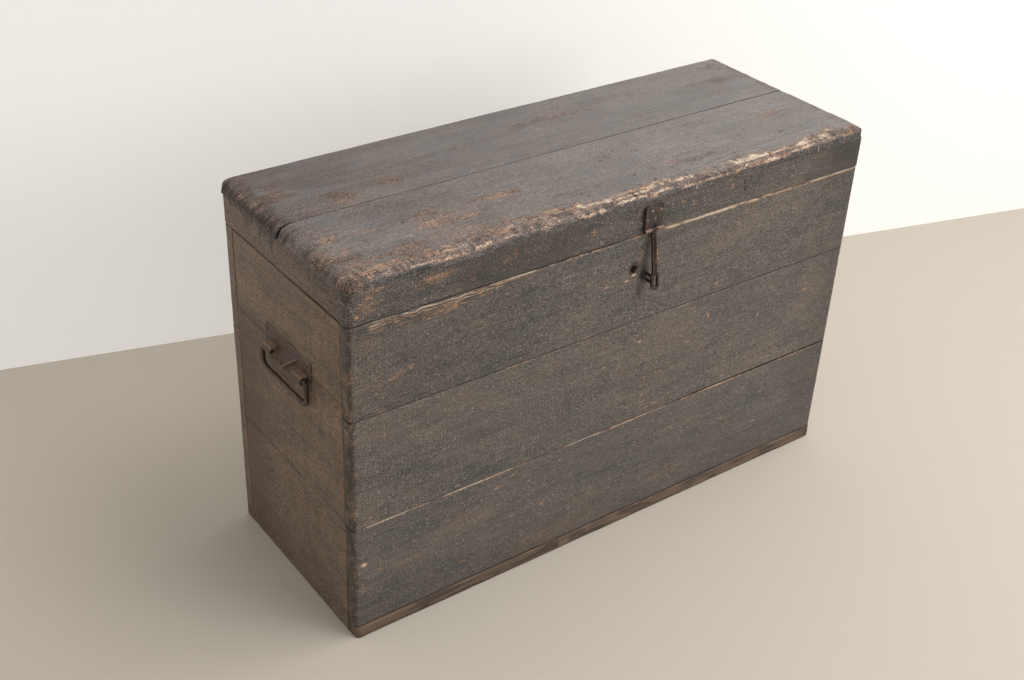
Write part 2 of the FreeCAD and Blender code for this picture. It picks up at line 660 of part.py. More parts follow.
def lock_plate():
    """The lock's back plate against the front board, with the key's hole."""
    plate = block(LOCK_X, (LOCK_FACE_Y, CASE_Y[0]), (LOCK_TOP - LOCK_PLATE_SIZE[1], LOCK_TOP))
    return plate.cut(keyhole_cutter())


def lock_case():
    """The folded sheet case, open towards the plate, with a slot on top for the link."""
    outer = block(CASE_X, CASE_Y, CASE_Z)
    sheet = LOCK_SHEET
    inner = block((CASE_X[0] + sheet, CASE_X[1] - sheet), (CASE_Y[0] - 1, CASE_Y[1] - sheet),
                  (CASE_Z[0] + sheet, CASE_Z[1] - sheet))
    slot_half = LINK_WIDTH / 2 + 1.2
    slot = block((LINK_X - slot_half, LINK_X + slot_half), (CASE_Y[0] - 1, CASE_Y[1] - sheet),
                 (CASE_Z[1] - sheet - 1, CASE_Z[1] + 1))
    return outer.cut(inner).cut(slot)


def lock_key_pin():
    """The post that a barrel key turns on, riveted in the case."""
    return rod(Vector(KEYHOLE_X, LOCK_FACE_Y - 8.0, KEYHOLE_Z),
               Vector(KEYHOLE_X, CASE_Y[1] - LOCK_SHEET, KEYHOLE_Z), 1.8)


def lock_guide_rivets():
    """Two rivets between plate and case that the bolt's slot runs on."""
    return [rod(Vector(x, CASE_Y[0], z), Vector(x, CASE_Y[1] - LOCK_SHEET, z), RIVET_RADIUS)
            for x, z in RIVET_PLACES]


def lock_screws():
    """Four screws through the lock plate into the front board."""
    screws = []
    margin = 3.6
    low = LOCK_TOP - LOCK_PLATE_SIZE[1]
    for x in (LOCK_X[0] + margin, LOCK_X[1] - margin):
        for z in (low + 9.0, LOCK_TOP - 9.0):
            screws.append(nail(Vector(x, CASE_Y[0], z), -Y_AXIS, LOCK_SCREW_LENGTH, SCREW_HEAD_RADIUS))
    return screws


def lock_bolt():
    """The sliding bolt: a head that passes through the link, a tail with a notch for the key."""
    left = KEYHOLE_X - 28.0
    head = block((left, LINK_X - LINK_WIDTH / 2 - 2.0), BOLT_Y, BOLT_HEAD_Z)
    neck = block((left, KEYHOLE_X + 2.0), BOLT_Y, (BOLT_TAIL_Z[0], BOLT_HEAD_Z[1]))
    tail = block((left, KEYHOLE_X + 8.0), BOLT_Y, BOLT_TAIL_Z)
    slot_half = RIVET_RADIUS + RUNNING_CLEARANCE
    slot_x = (RIVET_PLACES[0][0] - BOLT_THROW - slot_half, RIVET_PLACES[1][0] + slot_half)
    slot = block(slot_x, (BOLT_Y[0] - 1, BOLT_Y[1] + 1),
                 (RIVET_PLACES[0][1] - slot_half, RIVET_PLACES[0][1] + slot_half))
    talon = block((KEYHOLE_X - 5.0, KEYHOLE_X + 4.0), (BOLT_Y[0] - 1, BOLT_Y[1] + 1),
                  (BOLT_TAIL_Z[0] - 1, BOLT_TALON_TOP))
    return head.fuse([neck, tail]).cut(slot).cut(talon).removeSplitter()


def lid_link():
    """The link plate inside the lid's front rail, with a loop that drops into the lock."""
    rail_face = RIM_FRONT_Y + WALL
    half = LINK_PLATE_SIZE[0] / 2
    plate = block((LINK_X - half, LINK_X + half), (rail_face, rail_face + LINK_PLATE_THICKNESS),
                  (RIM_BOTTOM + 1.0, RIM_BOTTOM + 1.0 + LINK_PLATE_SIZE[1]))
    bridge = block((LINK_X - LINK_WIDTH / 2, LINK_X + LINK_WIDTH / 2), (rail_face, LINK_Y[1]),
                   (RIM_BOTTOM + 1.0, RIM_BOTTOM + 6.0))
    loop = block((LINK_X - LINK_WIDTH / 2, LINK_X + LINK_WIDTH / 2), LINK_Y,
                 (RIM_BOTTOM - LINK_DROP, RIM_BOTTOM + 2.0))
    hole = block((LINK_X - 5, LINK_X + 5), (BOLT_Y[0] - 1.1, BOLT_Y[1] + 1.1),
                 (BOLT_HEAD_Z[0] - 0.8, BOLT_HEAD_Z[1] + 0.8))
    return plate.fuse([bridge, loop]).cut(hole).removeSplitter()


def link_screws():
    """Two screws through the link plate into the rail."""
    screws = []
    for offset in (-LINK_SCREW_OFFSET, LINK_SCREW_OFFSET):
        head = Vector(LINK_X + offset, RIM_FRONT_Y + WALL + LINK_PLATE_THICKNESS,
                      RIM_BOTTOM + LINK_SCREW_RISE)
        screws.append(nail(head, -Y_AXIS, RAIL_FIXING_LENGTH, SCREW_HEAD_RADIUS))
    return screws


# ---------------------------------------------------------------- hinges

def knuckle_spans(centre_x):
    """The barrel's three stretches along X: wall, lid, wall."""
    third = LEAF_WIDTH / 3
    left = centre_x - LEAF_WIDTH / 2
    gap = KNUCKLE_END_GAP / 2
    return [(left, left + third - gap), (left + third + gap, left + 2 * third - gap),
            (left + 2 * third + gap, left + LEAF_WIDTH)]


def hinge_leaf(centre_x, spans, side):
    """A leaf on the back face, below (side -1) or above (side +1) the seam, with its knuckles."""
    x = (centre_x - LEAF_WIDTH / 2, centre_x + LEAF_WIDTH / 2)
    clear = HINGE_KNUCKLE_RADIUS + 0.6
    axis_z = HINGE_AXIS.z
    y = (BACK_Y, BACK_Y + LEAF_THICKNESS)
    leaf = block(x, y, sorted((axis_z + side * clear, axis_z + side * LEAF_HEIGHT)))
    web_z = sorted((axis_z + side * 0.4, axis_z + side * (clear + 1)))
    for span in spans:
        web = block(span, y, web_z)
        barrel = rod(Vector(span[0], HINGE_AXIS.y, axis_z), Vector(span[1], HINGE_AXIS.y, axis_z),
                     HINGE_KNUCKLE_RADIUS)
        leaf = leaf.fuse([web, barrel])
    bore = rod(Vector(x[0] - 1, HINGE_AXIS.y, axis_z), Vector(x[1] + 1, HINGE_AXIS.y, axis_z),
               HINGE_PIN_RADIUS + RUNNING_CLEARANCE)
    return leaf.cut(bore).removeSplitter()


def hinge_pin(centre_x):
    """The pin through one hinge's knuckles."""
    half = Vector(LEAF_WIDTH / 2, 0, 0)
    centre = Vector(centre_x, HINGE_AXIS.y, HINGE_AXIS.z)
    return rod(centre - half, centre + half, HINGE_PIN_RADIUS)


def hinge_screws(side):
    """Three screws through each leaf, below or above the seam."""
    screws = []
    for centre_x in (-HINGE_X, HINGE_X):
        for offset, rise in HINGE_SCREW_PLACES:
            head = Vector(centre_x + offset, BACK_Y + LEAF_THICKNESS, HINGE_AXIS.z + side * rise)
            screws.append(nail(head, -Y_AXIS, HINGE_SCREW_LENGTH))
    return screws


# ---------------------------------------------------------------- the chest

def build_body(metal):
    """Boards, strips and floor, with room for the metal driven into them."""
    courses = ("bottom", "middle", "top")
    front = course_levels(FOOT_STRIP_HEIGHT + 0.5, FRONT_SEAMS, WALL_HEIGHT)
    back = course_levels(0.0, BACK_SEAMS, WALL_HEIGHT)
    ends = course_levels(0.0, END_SEAMS, WALL_HEIGHT)
    for name, front_level, back_level, end_level in zip(courses, front, back, ends):
        board = long_wall_board(-1, front_level)
        if name == "top":
            board = board.cut(keyhole_cutter())
        write("front_board_" + name, drilled(board, metal))
        write("back_board_" + name, drilled(long_wall_board(1, back_level), metal))
        write("left_end_board_" + name, drilled(end_board(-1, end_level), metal))
        write("right_end_board_" + name, drilled(end_board(1, end_level), metal))
    strip_ends = (-END_X + 1.0, FOOT_STRIP_JOINT_X, END_X - 1.0)
    write("foot_strip_left", drilled(foot_strip((strip_ends[0], strip_ends[1] - 0.4)), metal))
    write("foot_strip_right", drilled(foot_strip((strip_ends[1] + 0.4, strip_ends[2])), metal))
    floor_edges = [INNER_FRONT_Y] + list(FLOOR_SEAMS_Y) + [INNER_BACK_Y]
    half = SHRINKAGE_GAP / 2
    for index, name in enumerate(("front", "middle", "back")):
        low = floor_edges[index] + (half if index > 0 else 0.0)
        high = floor_edges[index + 1] - (half if index < 2 else 0.0)
        write("floor_board_" + name, drilled(floor_board((low, high)), metal))


def build_lid(metal):
    """Lid boards and rim rails, with room for the metal driven into them."""
    front, back = lid_boards()
    write("lid_board_front", drilled(front, metal))
    write("lid_board_back", drilled(back, metal))
    write("lid_rail_front", drilled(front_rail(), metal))
    write("lid_rail_back", drilled(back_rail(), metal))
    write("lid_rail_left", drilled(end_rail(-1), metal))
    write("lid_rail_right", drilled(end_rail(1), metal))


def main():
    """Build every piece and write its file."""
    wall_fixings = body_nails()
    floor_fixings = floor_nails()
    staple = hasp_staple()
    stray_nail = old_nail()
    lock_fixings = lock_screws()
    key_pin = lock_key_pin()
    wall_screws = hinge_screws(-1)
    lid_screws = hinge_screws(1)
    left_nails = handle_nails()
    right_nails = [mirrored_x(piece) for piece in left_nails]
    build_body(wall_fixings + floor_fixings + [staple, stray_nail] + lock_fixings + wall_screws
               + left_nails + right_nails)
    write("wall_nails", wall_fixings)
    write("floor_nails", floor_fixings)
    write("hasp_staple", staple)
    write("front_stray_nail", stray_nail)

    left_plate = drilled(handle_plate(), left_nails)
    left_bail = bail()
    for side, place in (("left", lambda shape: shape), ("right", mirrored_x)):
        write(side + "_handle_plate", place(left_plate))
        write(side + "_bail", place(left_bail))
    write("left_handle_nails", left_nails)
    write("right_handle_nails", right_nails)

    rivets = lock_guide_rivets()
    write("lock_plate", drilled(lock_plate(), lock_fixings))
    write("lock_case", lock_case())
    write("lock_key_pin", key_pin)
    write("lock_guide_rivets", rivets)
    write("lock_screws", lock_fixings)
    write("lock_bolt", lock_bolt())

    for side, name in ((-1, "left"), (1, "right")):
        spans = knuckle_spans(side * HINGE_X)
        wall_leaf = hinge_leaf(side * HINGE_X, (spans[0], spans[2]), -1)
        lid_leaf = hinge_leaf(side * HINGE_X, (spans[1],), 1)
        write("hinge_wall_leaf_" + name, drilled(wall_leaf, wall_screws))
        write("hinge_lid_leaf_" + name, drilled(lid_leaf, lid_screws))
        write("hinge_pin_" + name, hinge_pin(side * HINGE_X))
    write("hinge_wall_screws", wall_screws)

    lid_fixings = lid_nails()
    plate_fixings = hasp_plate_nails()
    link_fixings = link_screws()
    build_lid(lid_fixings + plate_fixings + lid_screws + link_fixings)
    write("lid_nails", lid_fixings)
    write("hasp_plate", drilled(hasp_plate(), plate_fixings))
    write("hasp_plate_nails", plate_fixings)
    write("hasp_pin", hasp_pin())
    write("hasp_strap", hasp_strap())
    write("lock_link", drilled(lid_link(), link_fixings))
    write("lock_link_screws", link_fixings)
    write("hinge_lid_screws", lid_screws)


main()
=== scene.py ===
"""Plank chest with a lift lid: painted softwood boards, iron hasp and staple, bail handles.

Boards and ironwork are shaped in millimetres; their meshes are written in metres.
"""

import math

import bmesh
import bpy
import numpy as np
from mathutils import Matrix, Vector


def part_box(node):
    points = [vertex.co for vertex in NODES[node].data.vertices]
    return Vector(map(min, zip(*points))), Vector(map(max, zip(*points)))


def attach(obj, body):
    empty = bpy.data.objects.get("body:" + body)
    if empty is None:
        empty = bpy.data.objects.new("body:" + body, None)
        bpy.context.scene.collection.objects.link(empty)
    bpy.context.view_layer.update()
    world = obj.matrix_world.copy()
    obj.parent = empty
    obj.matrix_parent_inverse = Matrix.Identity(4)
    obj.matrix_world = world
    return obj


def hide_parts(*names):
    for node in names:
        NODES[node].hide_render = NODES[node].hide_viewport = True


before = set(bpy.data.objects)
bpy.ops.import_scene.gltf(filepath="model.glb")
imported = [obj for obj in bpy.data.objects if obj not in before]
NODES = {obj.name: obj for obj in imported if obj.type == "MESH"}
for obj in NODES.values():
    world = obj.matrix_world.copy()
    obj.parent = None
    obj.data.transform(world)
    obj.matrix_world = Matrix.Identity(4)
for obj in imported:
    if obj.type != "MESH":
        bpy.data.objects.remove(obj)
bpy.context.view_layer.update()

MM = 0.001
ALONG, ACROSS, OUT = 0, 1, 2


# ---------------------------------------------------------------- random hills

def lattice_value(ix, iy, iz, seed):
    """A repeatable number from 0 to 1 for each whole-number place."""
    mixed = (ix * 374761393 + iy * 668265263 + iz * 1440662683 + seed * 1274126177) & 0xFFFFFFFF
    mixed = ((mixed ^ (mixed >> 13)) * 1274126177) & 0xFFFFFFFF
    return (mixed ^ (mixed >> 16)) / 4294967295.0


def lumps(points, size, seed):
    """Smooth hills from 0 to 1, spaced by size along each axis."""
    scaled = points / np.array(size, float)
    base = np.floor(scaled).astype(np.int64)
    part = scaled - base
    part = part * part * (3 - 2 * part)
    total = np.zeros(len(points))
    for dx in (0, 1):
        for dy in (0, 1):
            for dz in (0, 1):
                weight = 1.0
                for axis, step in enumerate((dx, dy, dz)):
                    weight = weight * (part[:, axis] if step else 1 - part[:, axis])
                total += weight * lattice_value(base[:, 0] + dx, base[:, 1] + dy, base[:, 2] + dz, seed)
    return total


def rough(points, size, seed, layers=3):
    """Hills on hills, from about 0 to 1."""
    total = np.zeros(len(points))
    share = 1.0
    sizes = np.array(size, float)
    for layer in range(layers):
        total += share * (lumps(points, sizes, seed + 17 * layer) - 0.5)
        share *= 0.5
        sizes = sizes / 2
    return np.clip(total + 0.5, 0, 1)


def ease(values, low, high):
    """0 below low, 1 above high, smooth between."""
    part = np.clip((values - low) / (high - low), 0, 1)
    return part * part * (3 - 2 * part)


# ---------------------------------------------------------------- board skins

def cut_lines(low, high, step, edge_step, edge, fine_spans=()):
    """Cuts from low to high, close together near both ends and inside the fine spans."""
    places = [low]
    while places[-1] < high:
        here = places[-1]
        near = min(here - low, high - here) / edge
        gap = edge_step + (step - edge_step) * min(1.0, max(0.0, near) ** 2)
        for span_low, span_high, span_step in fine_spans:
            if span_low <= here <= span_high:
                gap = min(gap, span_step)
        places.append(here + gap)
    if len(places) > 2 and high - places[-2] < 0.4 * edge_step:
        places.pop(-2)
    places[-1] = high
    return np.array(places)


def box_skin(us, vs, ws):
    """The points and faces of a box cut along the given lines; its inner face is one plain face."""
    shape = (len(us), len(vs), len(ws))
    on_skin = np.zeros(shape, bool)
    on_skin[[0, -1], :, :] = True
    on_skin[:, [0, -1], :] = True
    on_skin[:, :, -1] = True
    index = np.full(shape, -1)
    index[on_skin] = np.arange(on_skin.sum())
    grid = np.stack(np.meshgrid(us, vs, ws, indexing="ij"), axis=-1)
    points = grid[on_skin]
    faces = []
    sheets = [(index[0], False), (index[-1], True), (index[:, 0], True), (index[:, -1], False),
              (index[:, :, -1], True)]
    for sheet, forward in sheets:
        quads = np.stack([sheet[:-1, :-1], sheet[1:, :-1], sheet[1:, 1:], sheet[:-1, 1:]], axis=-1)
        quads = quads.reshape(-1, 4)
        faces += (quads if forward else quads[:, ::-1]).tolist()
    floor = index[:, :, 0]
    rim = list(floor[0, :]) + list(floor[1:, -1]) + list(floor[-1, -2::-1]) + list(floor[-2:0:-1, 0])
    faces.append([int(i) for i in rim])
    return points, faces


def rounded(points, low, high, rounds):
    """The points of a box drawn in to its rounded edges, and the way out at each of them.

    A round is (axis, side, reach, axis, side, reach).
    """
    inset_low = np.array([1.0, 1.0, 0.0])
    inset_high = np.array([1.0, 1.0, 1.0])
    for axis_a, side_a, reach_a, axis_b, side_b, reach_b in rounds:
        for axis, side, reach in ((axis_a, side_a, reach_a), (axis_b, side_b, reach_b)):
            inset = inset_low if side < 0 else inset_high
            inset[axis] = max(inset[axis], reach)
    core = np.clip(points, low + inset_low, high - inset_high)
    out = points - core

    def strain(at):
        worst = np.zeros(len(at))
        for axis_a, side_a, reach_a, axis_b, side_b, reach_b in rounds:
            parts = []
            for axis, side, reach in ((axis_a, side_a, reach_a), (axis_b, side_b, reach_b)):
                gap = at[:, axis] - low[axis] if side < 0 else high[axis] - at[:, axis]
                parts.append(np.clip((reach - gap) / reach, 0, None))
            worst = np.maximum(worst, np.hypot(*parts))
        return worst

    near = np.zeros(len(points))
    far = np.ones(len(points))
    for _ in range(22):
        middle = (near + far) / 2
        outside = strain(core + out * middle[:, None]) > 1
        far = np.where(outside, middle, far)
        near = np.where(outside, near, middle)
    share = np.where(strain(points) > 1 + 1e-9, near, 1.0)
    length = np.linalg.norm(out, axis=1)
    way = out / np.where(length > 0, length, 1)[:, None]
    return core + out * share[:, None], way


def softened(points, faces, share, times):
    """The points drawn towards their neighbours by a share from 0 to 1, a number of times."""
    quads = np.array([face for face in faces if len(face) == 4])
    starts = quads.ravel()
    stops = np.roll(quads, -1, axis=1).ravel()
    number = np.bincount(np.concatenate([starts, stops]), minlength=len(points))[:, None]
    for _ in range(times):
        total = np.zeros_like(points)
        np.add.at(total, starts, points[stops])
        np.add.at(total, stops, points[starts])
        points = points + share[:, None] * (total / np.maximum(number, 1) - points)
    return points


def segment_distance(points, start, end):
    """How far each (u, v) is from a straight stretch."""
    start = np.array(start, float)
    run = np.array(end, float) - start
    offset = points - start
    along = np.clip(offset @ run / (run @ run), 0, 1)
    return np.linalg.norm(offset - along[:, None] * run, axis=1)


class Wear:
    """How worn, bare, rubbed and dark each point of one board is: from years of use, and in places painted
    light and shade.
    """

    def __init__(self, points, low, high, seed):
        self.points = points
        self.low = low
        self.high = high
        self.seed = seed
        self.depth = np.zeros(len(points))
        self.bare = np.zeros(len(points))
        self.rubbed = np.zeros(len(points))
        self.dark = np.zeros(len(points))
        self.grooved = np.zeros(len(points))
        self.kept = np.zeros(len(points))
        self.nicked = np.zeros(len(points))
        self.below = high[OUT] - points[:, OUT]
        self.face = np.clip(1 - self.below / 6.0, 0, 1)

    def hills(self, size, shift, contrast=1.0, slant=0.0):
        """Random hills of this board, spread about their middle by the contrast, leaning by the slant."""
        points = self.points + np.outer(self.points[:, ACROSS], (slant, 0.0, 0.0))
        return np.clip(0.5 + contrast * (rough(points, size, self.seed + shift) - 0.5), 0, 1)

    def gap(self, axis, side):
        """How far each point is from one side of the board."""
        return self.points[:, axis] - self.low[axis] if side < 0 else self.high[axis] - self.points[:, axis]

    def add(self, amount, depth=0.0, bare=0.0, rubbed=0.0, dark=0.0, here=slice(None)):
        """Works an amount from 0 to 1 into the board."""
        self.depth[here] += depth * amount
        self.bare[here] = np.maximum(self.bare[here], bare * amount)
        self.rubbed[here] = np.maximum(self.rubbed[here], rubbed * amount)
        self.dark[here] = np.maximum(self.dark[here], dark * amount)

    def unevenness(self, amount):
        """Slow hollows over the whole face, and a little ripple of the plane's cut."""
        self.depth += amount * (rough(self.points, (210, 70, 70), self.seed) - 0.5) * self.face
        self.depth += 0.3 * amount * (rough(self.points, (45, 16, 16), self.seed + 3) - 0.5) * self.face

    def arris(self, axis, side, reach, depth, bare, run=28.0, chips=0.0, shares=None, contrast=1.4,
              rubbed=0.3):
        """An outer edge rubbed down, with chips out of it; shares scale it from place to place."""
        distance = np.hypot(self.gap(axis, side), self.below)
        other = ACROSS if axis == ALONG else ALONG
        amount = np.clip(1 - distance / reach, 0, 1)
        if shares:
            amount = amount * np.interp(self.points[:, other], *zip(*shares))
        size = np.full(3, 7.0)
        size[other] = run
        hills = self.hills(size, 5, contrast)
        self.depth += depth * amount ** 1.5 * (0.3 + 1.4 * hills)
        self.add(amount ** 0.8 * (0.25 + 1.3 * hills), bare=bare, rubbed=rubbed)
        if chips:
            broken = ease(self.hills(size * 0.6, 9), 0.58, 0.7) * np.sqrt(amount)
            self.add(broken, depth=chips, bare=min(1.0, 1.25 * bare))

    def seam_dirt(self, side, start=0.7, full=2.2, strength=0.9):
        """Dirt down in the joint with the next board."""
        near = self.gap(ACROSS, side) < 1.5
        self.add(ease(self.below, start, full) * near, dark=strength)

    def line(self, places, width, wander=2.4, **what):
        """A crack, scratch or streak along the places on the face."""
        shift = (lumps(self.points, (14, 14, 14), self.seed + 21) - 0.5) * wander
        at = self.points[:, :2] + np.stack([np.zeros(len(shift)), shift], axis=1)
        for start, end in zip(places[:-1], places[1:]):
            amount = np.clip(1 - segment_distance(at, start, end) / width, 0, 1) * (self.face > 0.3)
            self.add(np.sqrt(amount), **what)

    def mark(self, u, v, half_u, half_v, turn=0.0, ragged=0.6, **what):
        """A scar on the face: an uneven oval, turned by some degrees."""
        reach = 1.6 * max(half_u, half_v)
        here = np.flatnonzero((np.abs(self.points[:, 0] - u) < reach)
                              & (np.abs(self.points[:, 1] - v) < reach)
                              & (self.face > 0))
        offset = self.points[here, :2] - np.array([u, v])
        cosine, sine = math.cos(math.radians(turn)), math.sin(math.radians(turn))
        along = (offset[:, 0] * cosine + offset[:, 1] * sine) / half_u
        across = (offset[:, 1] * cosine - offset[:, 0] * sine) / half_v
        grain = min(8.0, 2.0 + 0.4 * min(half_u, half_v))
        uneven = lumps(self.points[here], (2 * grain, grain, grain), self.seed + 31) - 0.5
        amount = np.clip(1.6 * (1 - np.hypot(along, across) - ragged * uneven), 0, 1)
        self.add(amount, here=here, **what)

    def scatter(self, count, bare=0.6, depth=0.25, along=None, across=None, size=(1.6, 5.0)):
        """Small chips and knocks here and there, most of them along the grain."""
        random = np.random.default_rng(self.seed)
        along = along or (self.low[0] + 8, self.high[0] - 8)
        across = across or (self.low[1] + 4, self.high[1] - 4)
        for _ in range(count):
            long = random.uniform(*size) * (2.4 if random.random() < 0.2 else 1.0)
            self.mark(random.uniform(*along), random.uniform(*across), long, random.uniform(1.4, 2.8),
                      random.normal(0, 40), bare=bare * random.uniform(0.6, 1.4), depth=depth, rubbed=0.4)


def make_board(node, body, axes, side, skin, inside, rounds, wear, seed,
               step=(4.0, 3.0), edge_step=(1.6, 1.2), edge=(30.0, 22.0), fine=((), ()), soft_corners=0):
    """A board in place of its plain one: cut fine where it shows, worn, and left flat inside.

    axes gives the real axis of its length, its width and its thickness; side is the way it faces.
    """
    low_corner, high_corner = (np.array(corner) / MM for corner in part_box(node))
    along, across, out = axes
    thickness = high_corner[out] - low_corner[out]
    face = high_corner[out] if side > 0 else low_corner[out]
    low = np.array([low_corner[along], low_corner[across], -thickness])
    high = np.array([high_corner[along], high_corner[across], 0.0])
    us = cut_lines(low[0], high[0], step[0], edge_step[0], edge[0], fine[0])
    vs = cut_lines(low[1], high[1], step[1], edge_step[1], edge[1], fine[1])
    ws = -thickness * np.array([1.0, 0.7, 0.42, 0.24, 0.13, 0.06, 0.0])
    flat, faces = box_skin(us, vs, ws)
    points, way = rounded(flat, low, high, rounds)
    if soft_corners:
        corner_gap = np.hypot(np.minimum(points[:, 0] - low[0], high[0] - points[:, 0]),
                              np.minimum(points[:, 1] - low[1], high[1] - points[:, 1]))
        share = ease(-corner_gap, -46.0, -20.0) * ease(points[:, OUT] - low[OUT], 0.5, 8.0)
        points = softened(points, faces, share, soft_corners)
    worn = Wear(points, low, high, seed)
    wear(worn)
    free = (points[:, OUT] > low[OUT] + 0.15 * thickness)[:, None]
    points = points - way * np.minimum(worn.depth, 0.55 * thickness)[:, None] * free
    real = np.zeros_like(points)
    real[:, along] = points[:, 0]
    real[:, across] = points[:, 1]
    real[:, out] = face + side * points[:, 2]
    mesh = bpy.data.meshes.new(node + "_worn")
    mesh.from_pydata((real * MM).tolist(), [], faces)
    offset = np.array([1.37, 0.61, 0.29]) * (seed % 23)
    grain_place = points * MM + offset
    mesh.attributes.new("grain_place", "FLOAT_VECTOR", "POINT").data.foreach_set(
        "vector", grain_place.astype(np.float32).ravel())
    corners = np.array([point for face in faces for point in face])
    for name, values in (("bare", worn.bare), ("rubbed", worn.rubbed), ("dark", worn.dark),
                         ("grooved", worn.grooved), ("kept", worn.kept), ("nicked", worn.nicked)):
        spread = np.clip(values[corners], 0, 1)
        spread[-len(faces[-1]):] = 0.0
        mesh.attributes.new(name, "FLOAT", "CORNER").data.foreach_set("value", spread.astype(np.float32))
    mesh.materials.append(skin)
    mesh.materials.append(inside)
    mesh.polygons[len(faces) - 1].material_index = 1
    tidy_mesh(mesh, 42)
    piece = bpy.data.objects.new(node + "_worn", mesh)
    bpy.context.scene.collection.objects.link(piece)
    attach(piece, body)
    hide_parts(node)
    return piece


def tidy_mesh(mesh, sharp_angle):
    """Faces turned outwards, smooth but for the sharp edges."""
    shape = bmesh.new()
    shape.from_mesh(mesh)
    bmesh.ops.recalc_face_normals(shape, faces=shape.faces)
    shape.to_mesh(mesh)
    shape.free()
    mesh.shade_smooth()
    mesh.set_sharp_from_angle(angle=math.radians(sharp_angle))


# ---------------------------------------------------------------- node wiring

class Wiring:
    """Puts nodes into one node tree and joins them."""

    def __init__(self, tree):
        self.tree = tree

    def node(self, kind, settings=None, **inputs):
        made = self.tree.nodes.new(kind)
        for name, value in (settings or {}).items():
            setattr(made, name, value)
        for name, value in inputs.items():
            self.feed(made.inputs[name.replace("_", " ")], value)
        return made

    def feed(self, socket, value):
        if isinstance(value, bpy.types.NodeSocket):
            self.tree.links.new(value, socket)
        elif isinstance(value, tuple) and len(value) == 3 and socket.type == "RGBA":
            socket.default_value = (*value, 1.0)
        else:
            socket.default_value = value

    def maths(self, operation, first, second=0.5):
        made = self.tree.nodes.new("ShaderNodeMath")
        made.operation = operation
        self.feed(made.inputs[0], first)
        self.feed(made.inputs[1], second)
        return made.outputs[0]

    def sum_of(self, *parts):
        """The sum of each value times its weight."""
        total = None
        for value, weight in parts:
            part = self.maths("MULTIPLY", value, weight)
            total = part if total is None else self.maths("ADD", total, part)
        return total

    def vector_maths(self, operation, first, second):
        made = self.tree.nodes.new("ShaderNodeVectorMath")
        made.operation = operation
        self.feed(made.inputs[0], first)
        self.feed(made.inputs[1], second)
        return made.outputs[0]

    def dimmed(self, colour, amount):
        made = self.tree.nodes.new("ShaderNodeVectorMath")
        made.operation = "SCALE"
        self.feed(made.inputs[0], colour)
        self.feed(made.inputs["Scale"], amount)
        return made.outputs[0]

    def mix(self, share, first, second):
        made = self.tree.nodes.new("ShaderNodeMix")
        made.data_type = "RGBA"
        self.feed(made.inputs[0], share)
        self.feed(made.inputs[6], first)
        self.feed(made.inputs[7], second)
        return made.outputs[2]

    def stretch(self, value, low, high, to_low=0.0, to_high=1.0, smooth=True):
        made = self.tree.nodes.new("ShaderNodeMapRange")
        made.interpolation_type = "SMOOTHSTEP" if smooth else "LINEAR"
        for socket, given in zip(made.inputs[:5], (value, low, high, to_low, to_high)):
            self.feed(socket, given)
        return made.outputs[0]

    def scaled(self, place, scale, turn=(0.0, 0.0, 0.0)):
        made = self.tree.nodes.new("ShaderNodeMapping")
        self.feed(made.inputs["Vector"], place)
        self.feed(made.inputs["Scale"], scale)
        self.feed(made.inputs["Rotation"], turn)
        return made.outputs[0]

    def noise(self, place, scale=1.0, detail=3.0, roughness=0.55, distortion=0.0):
        return self.node("ShaderNodeTexNoise", Vector=place, Scale=scale, Detail=detail,
                         Roughness=roughness, Distortion=distortion).outputs[0]

    def group(self, tree, **inputs):
        made = self.tree.nodes.new("ShaderNodeGroup")
        made.node_tree = tree
        for name, value in inputs.items():
            self.feed(made.inputs[name.replace("_", " ")], value)
        return made.outputs


SOCKETS = {"vector": "NodeSocketVector", "colour": "NodeSocketColor", "number": "NodeSocketFloat"}


def new_group(name, inputs, outputs):
    """An empty node group with named sockets; returns its wiring, its inputs and its output node."""
    tree = bpy.data.node_groups.new(name, "ShaderNodeTree")
    for socket_name, kind in inputs:
        tree.interface.new_socket(name=socket_name, in_out="INPUT", socket_type=SOCKETS[kind])
    for socket_name, kind in outputs:
        tree.interface.new_socket(name=socket_name, in_out="OUTPUT", socket_type=SOCKETS[kind])
    given = tree.nodes.new("NodeGroupInput").outputs
    made = tree.nodes.new("NodeGroupOutput").inputs
    return Wiring(tree), given, made


def wood_grain_group():
    """Softwood: growth lines along the board, fibres in them."""
    wiring, given, made = new_group(
        "wood_grain", [("Place", "vector"), ("Pale", "colour"), ("Deep", "colour")],
        [("Colour", "colour"), ("Height", "number")])
    slow = wiring.noise(wiring.scaled(given["Place"], (1.2, 9.0, 9.0)), 1.0, 2.0)
    bands = wiring.noise(wiring.scaled(given["Place"], (2.2, 150.0, 60.0)), 1.0, 3.0, 0.6, 0.4)
    fibres = wiring.noise(wiring.scaled(given["Place"], (14.0, 900.0, 500.0)), 1.0, 3.0, 0.6)
    lines = wiring.sum_of((bands, 0.7), (fibres, 0.3))
    tone = wiring.stretch(wiring.sum_of((lines, 1.0), (slow, 0.35)), 0.45, 0.85)
    wiring.feed(made["Colour"], wiring.mix(tone, given["Pale"], given["Deep"]))
    wiring.feed(made["Height"], lines)
    return wiring.tree


